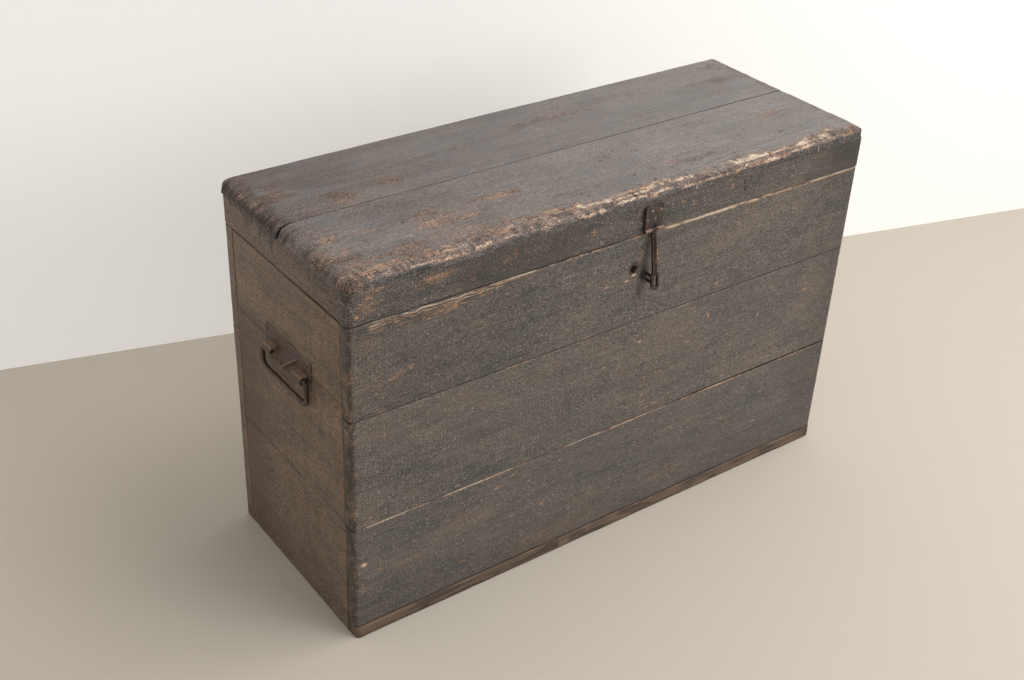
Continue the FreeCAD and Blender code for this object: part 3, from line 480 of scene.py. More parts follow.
def old_paint_group():
    """Old paint gone patchy: slate where it is thick, brown where it is thin, mottled all over."""
    wiring, given, made = new_group(
        "old_paint", [("Place", "vector"), ("Thick", "colour"), ("Thin", "colour"), ("Dull", "colour"),
                      ("Streaks", "number"), ("Drips", "number"), ("Mottle", "number")],
        [("Colour", "colour"), ("Shade", "number"), ("Height", "number"), ("Gloss", "number")])
    place = given["Place"]
    patches = wiring.noise(wiring.scaled(place, (4.0, 9.0, 9.0)), 1.0, 3.0, 0.6, 0.6)
    clouds = wiring.noise(wiring.scaled(place, (22.0, 40.0, 40.0)), 1.0, 4.0, 0.65)
    mottles = wiring.noise(wiring.scaled(place, (120.0, 180.0, 180.0)), 1.0, 2.0, 0.6)
    crumbs = wiring.noise(wiring.scaled(place, (400.0, 620.0, 620.0)), 1.0, 2.0, 0.7)
    cracks = wiring.noise(wiring.scaled(place, (7.0, 150.0, 150.0)), 1.0, 3.0, 0.6, 0.3)
    streaks = wiring.noise(wiring.scaled(place, (7.0, 210.0, 210.0)), 1.0, 4.0, 0.65, 0.3)
    grain_lines = wiring.noise(wiring.scaled(place, (4.0, 360.0, 360.0)), 1.0, 2.0, 0.6, 0.4)
    pores = wiring.noise(wiring.scaled(place, (38.0, 720.0, 720.0)), 1.0, 2.0, 0.6)
    drips = wiring.noise(wiring.scaled(place, (230.0, 9.0, 60.0)), 1.0, 4.0, 0.65, 0.3)
    tints = wiring.noise(wiring.scaled(place, (260.0, 420.0, 420.0), (3.0, 1.0, 2.0)), 1.0, 2.0, 0.6)
    thin = wiring.stretch(wiring.sum_of((patches, 0.9), (clouds, 0.45), (tints, 0.7)), 0.78, 1.27)
    colour = wiring.mix(thin, given["Thick"], given["Thin"])
    dull = wiring.maths("MULTIPLY", wiring.stretch(clouds, 0.48, 0.7), 0.7)
    colour = wiring.mix(dull, colour, given["Dull"])
    streaked = wiring.maths("MULTIPLY", wiring.stretch(streaks, 0.48, 0.68), given["Streaks"])
    colour = wiring.mix(streaked, colour, given["Thin"])
    dripped = wiring.maths("MULTIPLY", wiring.stretch(drips, 0.5, 0.7), given["Drips"])
    colour = wiring.mix(dripped, colour, given["Thin"])
    uneven = wiring.sum_of((patches, 1.4), (clouds, 2.3), (mottles, 1.2), (crumbs, 7.4), (streaks, 1.3),
                           (drips, given["Drips"]))
    level = wiring.maths("SUBTRACT", uneven, wiring.sum_of((given["Drips"], 0.5), (0.5, 13.6)))
    dark_pores = wiring.maths("MULTIPLY", wiring.stretch(pores, 0.57, 0.72), 0.4)
    shade = wiring.maths("ADD", wiring.maths("MULTIPLY", level, given["Mottle"]), 1.0)
    lined = wiring.sum_of((wiring.stretch(cracks, 0.58, 0.68), 0.55),
                          (wiring.stretch(grain_lines, 0.55, 0.64), 0.4))
    dark_cracks = wiring.maths("MULTIPLY", lined, given["Streaks"])
    shade = wiring.maths("SUBTRACT", wiring.maths("SUBTRACT", shade, dark_pores), dark_cracks)
    shade = wiring.maths("MAXIMUM", shade, 0.3)
    wiring.feed(made["Colour"], wiring.dimmed(colour, shade))
    wiring.feed(made["Shade"], shade)
    wiring.feed(made["Height"], wiring.sum_of((crumbs, 0.6), (mottles, 0.7), (streaks, 0.5), (pores, -0.3)))
    wiring.feed(made["Gloss"], wiring.sum_of((clouds, 0.4), (mottles, 0.3), (crumbs, 0.3)))
    return wiring.tree


def flecks_group():
    """Small spots on a face, each in a cell of its own: a share of the cells has one."""
    wiring, given, made = new_group(
        "flecks", [("Place", "vector"), ("Cells", "vector"), ("Size", "number"), ("Share", "number")],
        [("Mask", "number")])
    place = wiring.vector_maths("MULTIPLY", given["Place"], given["Cells"])
    ragged = wiring.noise(place, 7.0, 2.0)
    cells = wiring.node("ShaderNodeTexVoronoi", {"feature": "F1", "voronoi_dimensions": "2D"},
                        Vector=place, Scale=1.0)
    parts = wiring.node("ShaderNodeSeparateColor")
    wiring.feed(parts.inputs[0], cells.outputs["Color"])
    chosen = wiring.maths("LESS_THAN", parts.outputs[0], given["Share"])
    reach = wiring.maths("MULTIPLY", given["Size"], wiring.maths("ADD", parts.outputs[1], 0.3))
    rough_distance = wiring.maths("ADD", cells.outputs["Distance"],
                                  wiring.maths("MULTIPLY", wiring.maths("SUBTRACT", ragged, 0.5),
                                               wiring.maths("MULTIPLY", reach, 2.4)))
    inside = wiring.maths("SUBTRACT", 1.0,
                          wiring.stretch(wiring.maths("DIVIDE", rough_distance, reach), 0.7, 1.15))
    strength = wiring.maths("ADD", wiring.maths("MULTIPLY", parts.outputs[2], 0.7), 0.3)
    wiring.feed(made["Mask"], wiring.maths("MULTIPLY", inside, wiring.maths("MULTIPLY", strength, chosen)))
    return wiring.tree


def scratches_group():
    """Short thin scratches on a face, each in a cell of its own, bent a little and lying any way."""
    wiring, given, made = new_group(
        "scratches", [("Place", "vector"), ("Cells", "number"), ("Width", "number"), ("Share", "number")],
        [("Mask", "number")])
    flat = wiring.node("ShaderNodeCombineXYZ")
    apart = wiring.node("ShaderNodeSeparateXYZ", Vector=given["Place"])
    for axis in (0, 1):
        wiring.feed(flat.inputs[axis], wiring.maths("MULTIPLY", apart.outputs[axis], given["Cells"]))
    cells = wiring.node("ShaderNodeTexVoronoi", {"feature": "F1", "voronoi_dimensions": "2D"},
                        Vector=flat.outputs[0], Scale=1.0)
    parts = wiring.node("ShaderNodeSeparateColor")
    wiring.feed(parts.inputs[0], cells.outputs["Color"])
    offset = wiring.vector_maths("SUBTRACT", flat.outputs[0], cells.outputs["Position"])
    turned = wiring.node("ShaderNodeVectorRotate", {"rotation_type": "Z_AXIS"}, Vector=offset,
                         Angle=wiring.maths("MULTIPLY", parts.outputs[0], 6.283))
    lying = wiring.node("ShaderNodeSeparateXYZ", Vector=turned.outputs[0])
    bend = wiring.maths("MULTIPLY", wiring.maths("POWER", lying.outputs[0], 2.0), parts.outputs[1])
    across = wiring.maths("ABSOLUTE", wiring.maths("SUBTRACT", lying.outputs[1], bend))
    thin = wiring.maths("SUBTRACT", 1.0,
                        wiring.stretch(wiring.maths("DIVIDE", across, given["Width"]), 0.5, 1.0))
    short = wiring.maths("LESS_THAN", wiring.maths("ABSOLUTE", lying.outputs[0]), 0.32)
    chosen = wiring.maths("LESS_THAN", parts.outputs[2], given["Share"])
    wiring.feed(made["Mask"], wiring.maths("MULTIPLY", thin, wiring.maths("MULTIPLY", short, chosen)))
    return wiring.tree


def ragged_edge_group():
    """Breaks a soft worn area up into crisp, fibrous islands."""
    wiring, given, made = new_group("ragged_edge", [("Place", "vector"), ("Amount", "number")],
                                    [("Mask", "number"), ("Rim", "number"), ("Soft", "number")])
    fibres = wiring.noise(wiring.scaled(given["Place"], (90.0, 420.0, 420.0)), 1.0, 4.0, 0.65)
    blots = wiring.noise(wiring.scaled(given["Place"], (130.0, 210.0, 210.0)), 1.0, 3.0, 0.65)
    broken = wiring.sum_of((fibres, 0.5), (blots, 0.5))
    level = wiring.maths("ADD", given["Amount"],
                         wiring.maths("MULTIPLY", wiring.maths("SUBTRACT", broken, 0.5), 2.6))
    softer = wiring.maths("ADD", given["Amount"],
                          wiring.maths("MULTIPLY", wiring.maths("SUBTRACT", broken, 0.5), 1.3))
    worn = wiring.stretch(given["Amount"], 0.0, 0.2)
    for name, depth, low, high in (("Mask", level, 0.5, 0.68), ("Rim", level, 0.2, 0.5),
                                   ("Soft", softer, 0.05, 1.1)):
        wiring.feed(made[name], wiring.maths("MULTIPLY", worn, wiring.stretch(depth, low, high)))
    return wiring.tree


def end_grain_group():
    """Close dark strokes where the wood's fibres end and have opened, uneven in length and depth."""
    wiring, given, made = new_group("end_grain", [("Place", "vector"), ("Amount", "number")],
                                    [("Strokes", "number"), ("Height", "number")])
    bent = wiring.noise(wiring.scaled(given["Place"], (40.0, 60.0, 40.0)), 1.0, 2.0)
    sway = wiring.node("ShaderNodeCombineXYZ", Y=wiring.maths("MULTIPLY", bent, 0.012))
    place = wiring.vector_maths("ADD", given["Place"], sway.outputs[0])
    coarse = wiring.noise(wiring.scaled(place, (16.0, 210.0, 30.0)), 1.0, 3.0, 0.7)
    close = wiring.noise(wiring.scaled(place, (26.0, 520.0, 50.0)), 1.0, 2.0, 0.7)
    depth = wiring.sum_of((coarse, 0.6), (close, 0.4))
    level = wiring.maths("ADD", depth,
                         wiring.maths("MULTIPLY", wiring.maths("SUBTRACT", given["Amount"], 0.5), 0.3))
    strokes = wiring.stretch(level, 0.45, 0.54)
    wiring.feed(made["Strokes"], wiring.maths("MULTIPLY", strokes, wiring.stretch(given["Amount"], 0.0, 0.3)))
    wiring.feed(made["Height"], wiring.maths("MULTIPLY", depth, given["Amount"]))
    return wiring.tree


def rust_group():
    """Iron browned by rust, darker in the hollows."""
    wiring, given, made = new_group(
        "rust", [("Place", "vector"), ("Dark", "colour"), ("Brown", "colour"), ("Bright", "colour"),
                 ("Spread", "number")],
        [("Colour", "colour"), ("Height", "number"), ("Roughness", "number")])
    blots = wiring.noise(given["Place"], 110.0, 5.0, 0.65, 0.4)
    pits = wiring.noise(given["Place"], 620.0, 4.0, 0.7)
    brown = wiring.stretch(wiring.maths("ADD", blots, given["Spread"]), 0.42, 0.66)
    colour = wiring.mix(brown, given["Dark"], given["Brown"])
    colour = wiring.mix(wiring.maths("MULTIPLY", wiring.stretch(pits, 0.54, 0.7), 0.7), colour,
                        given["Bright"])
    wiring.feed(made["Colour"], colour)
    wiring.feed(made["Height"], wiring.sum_of((pits, 0.6), (blots, 1.0)))
    wiring.feed(made["Roughness"], wiring.stretch(brown, 0.0, 1.0, 0.4, 0.78, smooth=False))
    return wiring.tree


WOOD_GRAIN = wood_grain_group()
OLD_PAINT = old_paint_group()
FLECKS = flecks_group()
SCRATCHES = scratches_group()
RAGGED_EDGE = ragged_edge_group()
END_GRAIN = end_grain_group()
RUST = rust_group()


# ---------------------------------------------------------------- finishes

def srgb(red, green, blue):
    """A colour written as 0 to 255 on a screen, as the shader takes it."""
    linear = []
    for value in (red, green, blue):
        part = value / 255
        linear.append(part / 12.92 if part <= 0.04045 else ((part + 0.055) / 1.055) ** 2.4)
    return tuple(linear)


def new_material(name):
    """A material with an empty node tree but for its shader; returns it, its wiring and its shader."""
    material = bpy.data.materials.new(name)
    material.use_nodes = True
    tree = material.node_tree
    shader = next(node for node in tree.nodes if node.type == "BSDF_PRINCIPLED")
    return material, Wiring(tree), shader


def from_mesh(wiring, name, output="Fac"):
    """What make_board or forged_piece wrote at each point of the mesh."""
    return wiring.node("ShaderNodeAttribute", {"attribute_name": name}).outputs[output]


# Near-black brown of dirt, pits and crevices; through the boards' dark amount it is also painted shade.
DIRT_AND_SHADE = srgb(27, 21, 18)
DUST = srgb(168, 158, 146)
CREAM_WOOD = srgb(208, 190, 166)
OPEN_GRAIN = srgb(44, 34, 29)


def painted_wood(name, thick, thin, dull, rubbed, pale_wood, deep_wood, gloss, streaks=0.25, drips=0.0,
                 mottle=0.75, dust_share=0.4, chip_share=0.16, scratch_share=0.5, pit_share=0.3,
                 coat=0.0, bump=0.6, kept_paint=None):
    """Old dark paint over softwood, worn through along the edges and flecked all over.

    kept_paint gives the three paint colours where the board's paint was never polished.
    """
    material, wiring, shader = new_material(name)
    place = from_mesh(wiring, "grain_place", "Vector")
    dark_amount = from_mesh(wiring, "dark")
    bare_amount = from_mesh(wiring, "bare")
    if kept_paint:
        kept = wiring.group(RAGGED_EDGE, Place=place, Amount=from_mesh(wiring, "kept"))["Mask"]
        thick, thin, dull = (wiring.mix(kept, own, old) for own, old in zip((thick, thin, dull), kept_paint))
    paint = wiring.group(OLD_PAINT, Place=place, Thick=thick, Thin=thin, Dull=dull, Streaks=streaks,
                         Drips=drips, Mottle=mottle)
    wood = wiring.group(WOOD_GRAIN, Place=place, Pale=pale_wood, Deep=deep_wood)
    worn = wiring.group(RAGGED_EDGE, Place=place, Amount=bare_amount)
    soft = wiring.group(RAGGED_EDGE, Place=place, Amount=from_mesh(wiring, "rubbed"))
    dust = wiring.group(FLECKS, Place=place, Cells=(170.0, 190.0, 1.0), Size=0.2, Share=dust_share)
    chips = wiring.group(FLECKS, Place=place, Cells=(34.0, 62.0, 1.0), Size=0.15, Share=chip_share)
    pits = wiring.group(FLECKS, Place=place, Cells=(70.0, 84.0, 1.0), Size=0.13, Share=pit_share)
    long_lines = wiring.group(SCRATCHES, Place=place, Cells=24.0, Width=0.012, Share=0.2 * scratch_share)
    short_lines = wiring.group(SCRATCHES, Place=place, Cells=58.0, Width=0.035, Share=scratch_share)
    rubbed_paint = wiring.dimmed(wiring.mix(0.0, rubbed, rubbed), paint["Shade"])
    colour = wiring.mix(wiring.maths("MULTIPLY", soft["Soft"], 0.75), paint["Colour"], rubbed_paint)
    colour = wiring.mix(wiring.maths("MULTIPLY", worn["Rim"], 0.5), colour, rubbed_paint)
    lines = wiring.maths("MAXIMUM", long_lines["Mask"], wiring.maths("MULTIPLY", short_lines["Mask"], 0.8))
    colour = wiring.mix(wiring.maths("MULTIPLY", lines, 0.24), colour, DUST)
    colour = wiring.mix(wiring.maths("MULTIPLY", dust["Mask"], 0.7), colour, DUST)
    colour = wiring.mix(wiring.maths("MULTIPLY", pits["Mask"], 0.6), colour, DIRT_AND_SHADE)
    bleached = wiring.mix(wiring.stretch(bare_amount, 0.62, 1.0), wood["Colour"], CREAM_WOOD)
    bleached = wiring.dimmed(bleached, wiring.sum_of((paint["Shade"], 0.5), (0.5, 1.0)))
    chipped = wiring.maths("MULTIPLY", chips["Mask"], 0.5)
    through = wiring.maths("MAXIMUM", wiring.maths("MULTIPLY", worn["Mask"], 0.9), chipped)
    colour = wiring.mix(through, colour, bleached)
    height = wiring.sum_of((paint["Height"], 1.0), (wood["Height"], 0.6), (through, -0.5), (lines, -0.3),
                           (pits["Mask"], -0.6), (dark_amount, -0.5))
    if kept_paint:
        ends = wiring.group(END_GRAIN, Place=place, Amount=from_mesh(wiring, "grooved"))
        colour = wiring.mix(wiring.maths("MULTIPLY", ends["Strokes"], 0.9), colour, OPEN_GRAIN)
        height = wiring.maths("SUBTRACT", height, wiring.maths("MULTIPLY", ends["Strokes"], 1.6))
        nicks = wiring.group(END_GRAIN, Place=wiring.scaled(place, (1.5, 1.5, 1.5), (0.0, 0.0, 1.25)),
                             Amount=from_mesh(wiring, "nicked"))
        colour = wiring.mix(wiring.maths("MULTIPLY", nicks["Strokes"], 0.75), colour, OPEN_GRAIN)
    # The dark amount is dirt in places and painted shade in others.
    colour = wiring.mix(dark_amount, colour, DIRT_AND_SHADE)
    wiring.feed(shader.inputs["Base Color"], colour)
    glossiness = wiring.stretch(paint["Gloss"], 0.38, 0.62, gloss[0], gloss[1], smooth=False)
    if kept_paint:
        dulled = wiring.maths("MAXIMUM", wiring.maths("MAXIMUM", kept, from_mesh(wiring, "grooved")),
                              wiring.maths("MULTIPLY", from_mesh(wiring, "rubbed"), 0.7))
        wiring.feed(shader.inputs["Coat Weight"], wiring.stretch(dulled, 0.0, 0.6, coat, 0.04, smooth=False))
        glossiness = wiring.stretch(dulled, 0.1, 0.7, glossiness, 0.66, smooth=False)
    else:
        shader.inputs["Coat Weight"].default_value = coat
    wiring.feed(shader.inputs["Roughness"],
                wiring.stretch(through, 0.0, 1.0, glossiness, 0.46, smooth=False))
    shader.inputs["Coat Roughness"].default_value = 0.32
    relief = wiring.node("ShaderNodeBump", Strength=bump, Distance=0.0006, Height=height)
    wiring.feed(shader.inputs["Normal"], relief.outputs[0])
    return material


def raw_wood(name, pale, deep, stain, roughness=0.75, on_board=True):
    """Unpainted old softwood, stained in patches."""
    material, wiring, shader = new_material(name)
    if on_board:
        place = from_mesh(wiring, "grain_place", "Vector")
    else:
        place = wiring.node("ShaderNodeTexCoord").outputs["Object"]
    wood = wiring.group(WOOD_GRAIN, Place=place, Pale=pale, Deep=deep)
    blots = wiring.noise(wiring.scaled(place, (9.0, 22.0, 22.0)), 1.0, 4.0, 0.6, 0.5)
    colour = wiring.mix(wiring.maths("MULTIPLY", wiring.stretch(blots, 0.48, 0.72), 0.75), wood["Colour"],
                        stain)
    if on_board:
        worn = wiring.group(RAGGED_EDGE, Place=place, Amount=from_mesh(wiring, "bare"))
        colour = wiring.mix(wiring.maths("MULTIPLY", worn["Mask"], 0.7), colour, pale)
        colour = wiring.mix(from_mesh(wiring, "dark"), colour, DIRT_AND_SHADE)
    wiring.feed(shader.inputs["Base Color"], colour)
    wiring.feed(shader.inputs["Roughness"],
                wiring.stretch(blots, 0.3, 0.7, roughness - 0.12, roughness + 0.08, smooth=False))
    relief = wiring.node("ShaderNodeBump", Strength=0.5, Distance=0.0005, Height=wood["Height"])
    wiring.feed(shader.inputs["Normal"], relief.outputs[0])
    return material


def iron(name, dark, brown, bright, spread, metallic=0.4, bump=0.6):
    """Old iron, more or less rusted, rubbed bright on its edges, with painted highlights on some faces, and
    black in its crevices.
    """
    material, wiring, shader = new_material(name)
    place = wiring.node("ShaderNodeTexCoord").outputs["Object"]
    rust = wiring.group(RUST, Place=place, Dark=dark, Brown=brown, Bright=bright, Spread=spread)
    worn_and_lit = wiring.group(RAGGED_EDGE, Place=place, Amount=from_mesh(wiring, "hand_rub_and_highlight"))
    colour = wiring.mix(wiring.sum_of((worn_and_lit["Rim"], 0.25), (worn_and_lit["Mask"], 0.5)), rust["Colour"], bright)
    colour = wiring.mix(from_mesh(wiring, "crevice"), colour, DIRT_AND_SHADE)
    wiring.feed(shader.inputs["Base Color"], colour)
    wiring.feed(shader.inputs["Roughness"], rust["Roughness"])
    shader.inputs["Metallic"].default_value = metallic
    relief = wiring.node("ShaderNodeBump", Strength=bump, Distance=0.0005, Height=rust["Height"])
    wiring.feed(shader.inputs["Normal"], relief.outputs[0])
    return material


TAN_WOOD = srgb(200, 164, 132)
DEEP_WOOD = srgb(146, 104, 74)
RIM_PAINTS = (srgb(76, 72, 69), srgb(85, 77, 70), srgb(66, 60, 56))

front_paint = painted_wood("front_paint", srgb(87, 85, 83), srgb(99, 88, 79), srgb(79, 73, 69),
                           srgb(118, 96, 79), TAN_WOOD, DEEP_WOOD, gloss=(0.4, 0.6), coat=0.08, mottle=0.62,
                           bump=1.1)
# The ends' paint is lighter than the front's: painted light for the light the end walls don't get.
end_paint = painted_wood("end_paint", srgb(112, 99, 89), srgb(125, 103, 85), srgb(103, 89, 78),
                         srgb(134, 104, 76), srgb(180, 142, 104), srgb(124, 88, 60), gloss=(0.44, 0.62),
                         drips=0.5, mottle=0.62, bump=0.9, dust_share=0.3, chip_share=0.08,
                         scratch_share=0.35)
rim_paint = painted_wood("rim_paint", *RIM_PAINTS, srgb(124, 97, 76), srgb(186, 142, 106), DEEP_WOOD,
                         gloss=(0.4, 0.58), coat=0.1, mottle=1.15)
# The rail ends' paint is likewise lighter than the front rail's: painted light.
RIM_END_PAINTS = (srgb(106, 94, 86), srgb(116, 97, 82), srgb(94, 82, 72))
rim_end_paint = painted_wood("rim_end_paint", *RIM_END_PAINTS, srgb(128, 101, 78), srgb(180, 142, 108),
                             DEEP_WOOD,
                             gloss=(0.44, 0.62), drips=0.3, mottle=0.7, kept_paint=RIM_END_PAINTS)
lid_paint = painted_wood("lid_paint", srgb(90, 82, 79), srgb(98, 86, 79), srgb(76, 68, 64),
                         srgb(134, 108, 92), srgb(200, 160, 128), srgb(140, 98, 70), gloss=(0.28, 0.52),
                         streaks=0.8, mottle=1.0, dust_share=0.1, chip_share=0.03, scratch_share=0.25,
                         pit_share=0.5, coat=0.55, bump=0.8, kept_paint=RIM_PAINTS)
bare_wood = raw_wood("bare_wood", srgb(122, 101, 83), srgb(88, 71, 58), srgb(80, 70, 60))
inside_wood = raw_wood("inside_wood", srgb(176, 142, 102), srgb(128, 92, 60), srgb(112, 84, 60), 0.8)
floor_wood = raw_wood("floor_wood", srgb(160, 128, 94), srgb(112, 80, 54), srgb(92, 70, 52), 0.82,
                      on_board=False)
rusty_iron = iron("rusty_iron", srgb(32, 26, 23), srgb(54, 41, 34), srgb(122, 94, 74), 0.0)
painted_iron = iron("painted_iron", srgb(42, 37, 34), srgb(82, 66, 56), srgb(142, 112, 90), -0.02,
                    metallic=0.1,
                    bump=0.9)
plate_iron = iron("plate_iron", srgb(70, 58, 52), srgb(100, 79, 66), srgb(146, 118, 96), 0.0, metallic=0.1,
                  bump=0.9)
handle_iron = iron("handle_iron", srgb(50, 41, 37), srgb(74, 57, 48), srgb(124, 98, 80), 0.0, metallic=0.25)
nail_iron = iron("nail_iron", srgb(70, 58, 50), srgb(104, 82, 66), srgb(196, 174, 152), 0.04)
lock_iron = iron("lock_iron", srgb(52, 46, 42), srgb(80, 62, 50), srgb(110, 82, 62), -0.02, metallic=0.7)
hinge_iron = iron("hinge_iron", srgb(56, 47, 42), srgb(86, 64, 50), srgb(122, 92, 72), 0.03)


# ---------------------------------------------------------------- boards of the body

X, Y, Z = 0, 1, 2
COLUMN = (X, Z, Y)
ROW = (Y, Z, X)
KEYHOLE = (6.7, 488.0)
KEYHOLE_RADIUS = 5.5
KEY_SLOT = (2.5, 478.5)


def board_rounds(low_end, high_end, seam=1.1):
    """Rounds of a wall board: the radius at each end, and the arrises at its seams."""
    return [(ACROSS, -1, seam, OUT, 1, seam), (ACROSS, 1, seam, OUT, 1, seam),
            (ALONG, -1, low_end, OUT, 1, low_end), (ALONG, 1, high_end, OUT, 1, high_end)]


def front_base(board, chips):
    """Wear that the three front boards share, with a painted shade towards their right end."""
    board.unevenness(0.5)
    for side in (-1, 1):
        board.seam_dirt(side)
        board.arris(ALONG, side, 9.0, 0.1, 0.36, run=17.0, chips=0.4, contrast=3.2, rubbed=0.5)
        turned = 1 - ease(board.gap(ALONG, side) + 4 * (board.hills((8, 8, 8), 70) - 0.5), 3.0, 9.0)
        board.add(turned * (0.4 + 0.6 * board.hills((6, 12, 6), 71, 2.2)), dark=0.68, depth=0.2)
        board.add(turned * ease(board.hills((6, 12, 6), 73, 2.6), 0.5, 0.8), rubbed=0.95, bare=0.55)
    # painted shade: the boards grow darker towards the right end
    board.add(ease(board.points[:, ALONG] + 60 * (board.hills((60, 60, 60), 75) - 0.5), 340.0, 470.0),
              dark=0.3)
    board.scatter(chips)


def place_marks(board, marks):
    """Marks given as (u, v, half_u, half_v, turn, bare, rubbed, dark)."""
    for u, v, half_u, half_v, turn, bare, rubbed, dark in marks:
        board.mark(u, v, half_u, half_v, turn, bare=bare, rubbed=rubbed, dark=dark, depth=0.35 * bare)


def top_board_wear(board):
    front_base(board, 34)
    board.arris(ACROSS, 1, 6.0, 1.0, 1.0, run=50.0, chips=0.4, contrast=1.6, rubbed=0.8, shares=(
        (-480, 0.55), (-440, 0.9), (-180, 0.95), (-120, 0.6), (10, 0.65), (50, 1.2), (130, 1.5), (240, 1.2),
        (300, 0.8), (480, 0.75)))
    board.add(1 - ease(board.gap(ACROSS, -1), 0.5, 1.6), dark=0.75)
    gap = board.gap(ACROSS, 1)
    shadow = np.interp(board.points[:, ALONG], (-480, -60, 20, 240, 330, 480), (1.0, 1.0, 0.1, 0.1, 0.5, 0.6))
    board.add(shadow * (1 - ease(gap + 2.0 * (board.hills((40, 40, 40), 74) - 0.5), 0.8, 2.2)), dark=1.0,
              depth=0.6)
    along = board.points[:, ALONG]
    # painted shade: darker at the left end, over the left half and towards the right end
    board.add(1 - ease(along, -470.0, -400.0), dark=0.15)
    board.add(1 - ease(along, -260.0, -60.0), dark=0.16)
    board.add(ease(along, 340.0, 470.0), dark=0.24)
    # pale scratches under the lid, made whiter towards the left as a painted glare on them
    scratch_and_glare = (1 - 0.6 * ease(along, -300.0, -180.0)) * (0.85 + 0.5 * board.hills((34, 6, 34), 86, 2.0))
    for height, bare in ((537.0, 1.0), (532.5, 0.95), (526.0, 0.7)):
        board.line([(-446, height - 1), (-330, height + 1), (-170, height)], 1.7, 5.0, bare=bare * scratch_and_glare,
                   rubbed=0.6)
    place_marks(board, (
        (-402, 448, 20, 6, 6, 0.5, 0.95, 0), (-384, 452, 12, 4, 20, 0.62, 0.9, 0),
        (-412, 444, 9, 4, 0, 0.62, 0.9, 0),
        (-436, 437, 16, 3, 20, 0.3, 0.7, 0), (-436, 452, 10, 3, 30, 0.4, 0.6, 0),
        (-316, 408, 2.4, 6, 20, 1, 0, 0), (-322, 404, 2.2, 5, -35, 1, 0, 0),
        (-310, 431, 10, 4, 10, 0.4, 0.5, 0),
        (-176, 424, 5, 5, 0, 0.5, 0.4, 0), (-122, 414, 7, 4, 0, 0.5, 0.4, 0),
        (-152, 449, 3, 8, 40, 0.5, 0.3, 0),
        (-66, 480, 4, 4, 0, 0.6, 0.3, 0), (-44, 472, 6, 4, 0, 0.6, 0.4, 0), (-14, 462, 7, 5, 0, 0.5, 0.4, 0),
        (-236, 457, 14, 3, 12, 0.55, 0.6, 0), (145, 452, 4, 5, 0, 0.5, 0.3, 0),
        (241, 516, 5, 6, 0, 0.5, 0.3, 0),
        (-330, 526, 60, 8, 3, 0.55, 0.8, 0), (-450, 510, 24, 20, 0, 0.1, 0.45, 0),
        (-300, 532, 130, 8, 0, 0, 0.55, 0),
        (8, 478, 7, 5, -20, 0.9, 0.8, 0), (-5, 471, 8, 4, 0, 0.9, 0.8, 0), (20, 508, 3, 17, -6, 0.85, 0.9, 0),
        (50, 502, 4, 16, 8, 0.85, 0.9, 0), (53, 492, 9, 5, 0, 0.6, 0.8, 0), (13, 500, 4, 12, 0, 0.3, 0.8, 0),
        # the last two marks are a painted shadow of the staple, falling to its left and down
        (27, 474, 10, 19, 8, 0, 0.2, 1.0), (20, 450, 5, 18, 14, 0, 0, 0.7)))
    board.line([(-440, 392), (-436, 372), (-431, 356)], 2.4, bare=0.7, rubbed=0.5)
    offset = board.points[:, :2] - np.array(KEYHOLE)
    round_part = np.hypot(offset[:, 0], offset[:, 1]) < KEYHOLE_RADIUS
    slot_part = (np.abs(offset[:, 0]) < KEY_SLOT[0]) & (board.points[:, 1] > KEY_SLOT[1]) & (offset[:, 1] < 0)
    hole = (round_part | slot_part) & (board.face > 0.9)
    # the hole's walls are painted near black as painted shade in the hole, less dark on one side
    board.add(hole, depth=30.0, dark=0.97)
    ring = (1 - ease(np.hypot(offset[:, 0], offset[:, 1]), 9.0, 12.0)) * (board.face > 0.9)
    board.add(ring * ~hole, depth=0.8, dark=0.72, rubbed=0.8)
    board.dark[hole & (offset[:, 0] + 0.4 * offset[:, 1] > 0.5)] = 0.55
    board.bare[hole] = 1.0


def middle_board_wear(board):
    front_base(board, 30)
    board.arris(ACROSS, 1, 2.2, 0.4, 0.62, run=26.0, contrast=3.0, rubbed=0.6, shares=(
        (-480, 0.4), (-260, 0.4), (-215, 0.9), (-150, 0.8), (-120, 0.35), (300, 0.4), (480, 0.3)))
    board.add(1 - ease(board.gap(ACROSS, -1), 0.6, 1.9), dark=0.85)
    opening = np.interp(board.points[:, ALONG], (110, 170, 440, 470), (0, 1, 1, 0.4))
    board.add(opening * (1 - ease(board.gap(ACROSS, -1), 1.0, 2.6)), depth=4.0, dark=1.0)
    place_marks(board, (
        (35, 351, 8, 4, 0, 0.55, 0.5, 0), (-40, 364, 5, 4, 0, 0.5, 0.4, 0),
        (177, 354, 2.6, 9, 18, 0.9, 0.3, 0),
        (293, 316, 3, 8, 12, 0.9, 0.3, 0), (126, 293, 4, 4, 0, 0.4, 0.4, 0),
        (-425, 356, 5, 9, 0, 0.7, 0.5, 0),
        (-344, 302, 7, 4, 0, 0.4, 0.4, 0), (-421, 289, 5, 4, 0, 0.4, 0.4, 0),
        (-267, 267, 3, 5, 0, 0.5, 0.3, 0),
        (98, 257, 9, 5, 0, 0.5, 0.5, 0), (240, 300, 10, 14, 0, 0, 0.4, 0), (-474, 304, 5, 12, 0, 0.5, 0.8, 0),
        (-474, 356, 5, 8, 0, 0.5, 0.8, 0), (60, 275, 46, 5, 3, 0, 0.5, 0)))


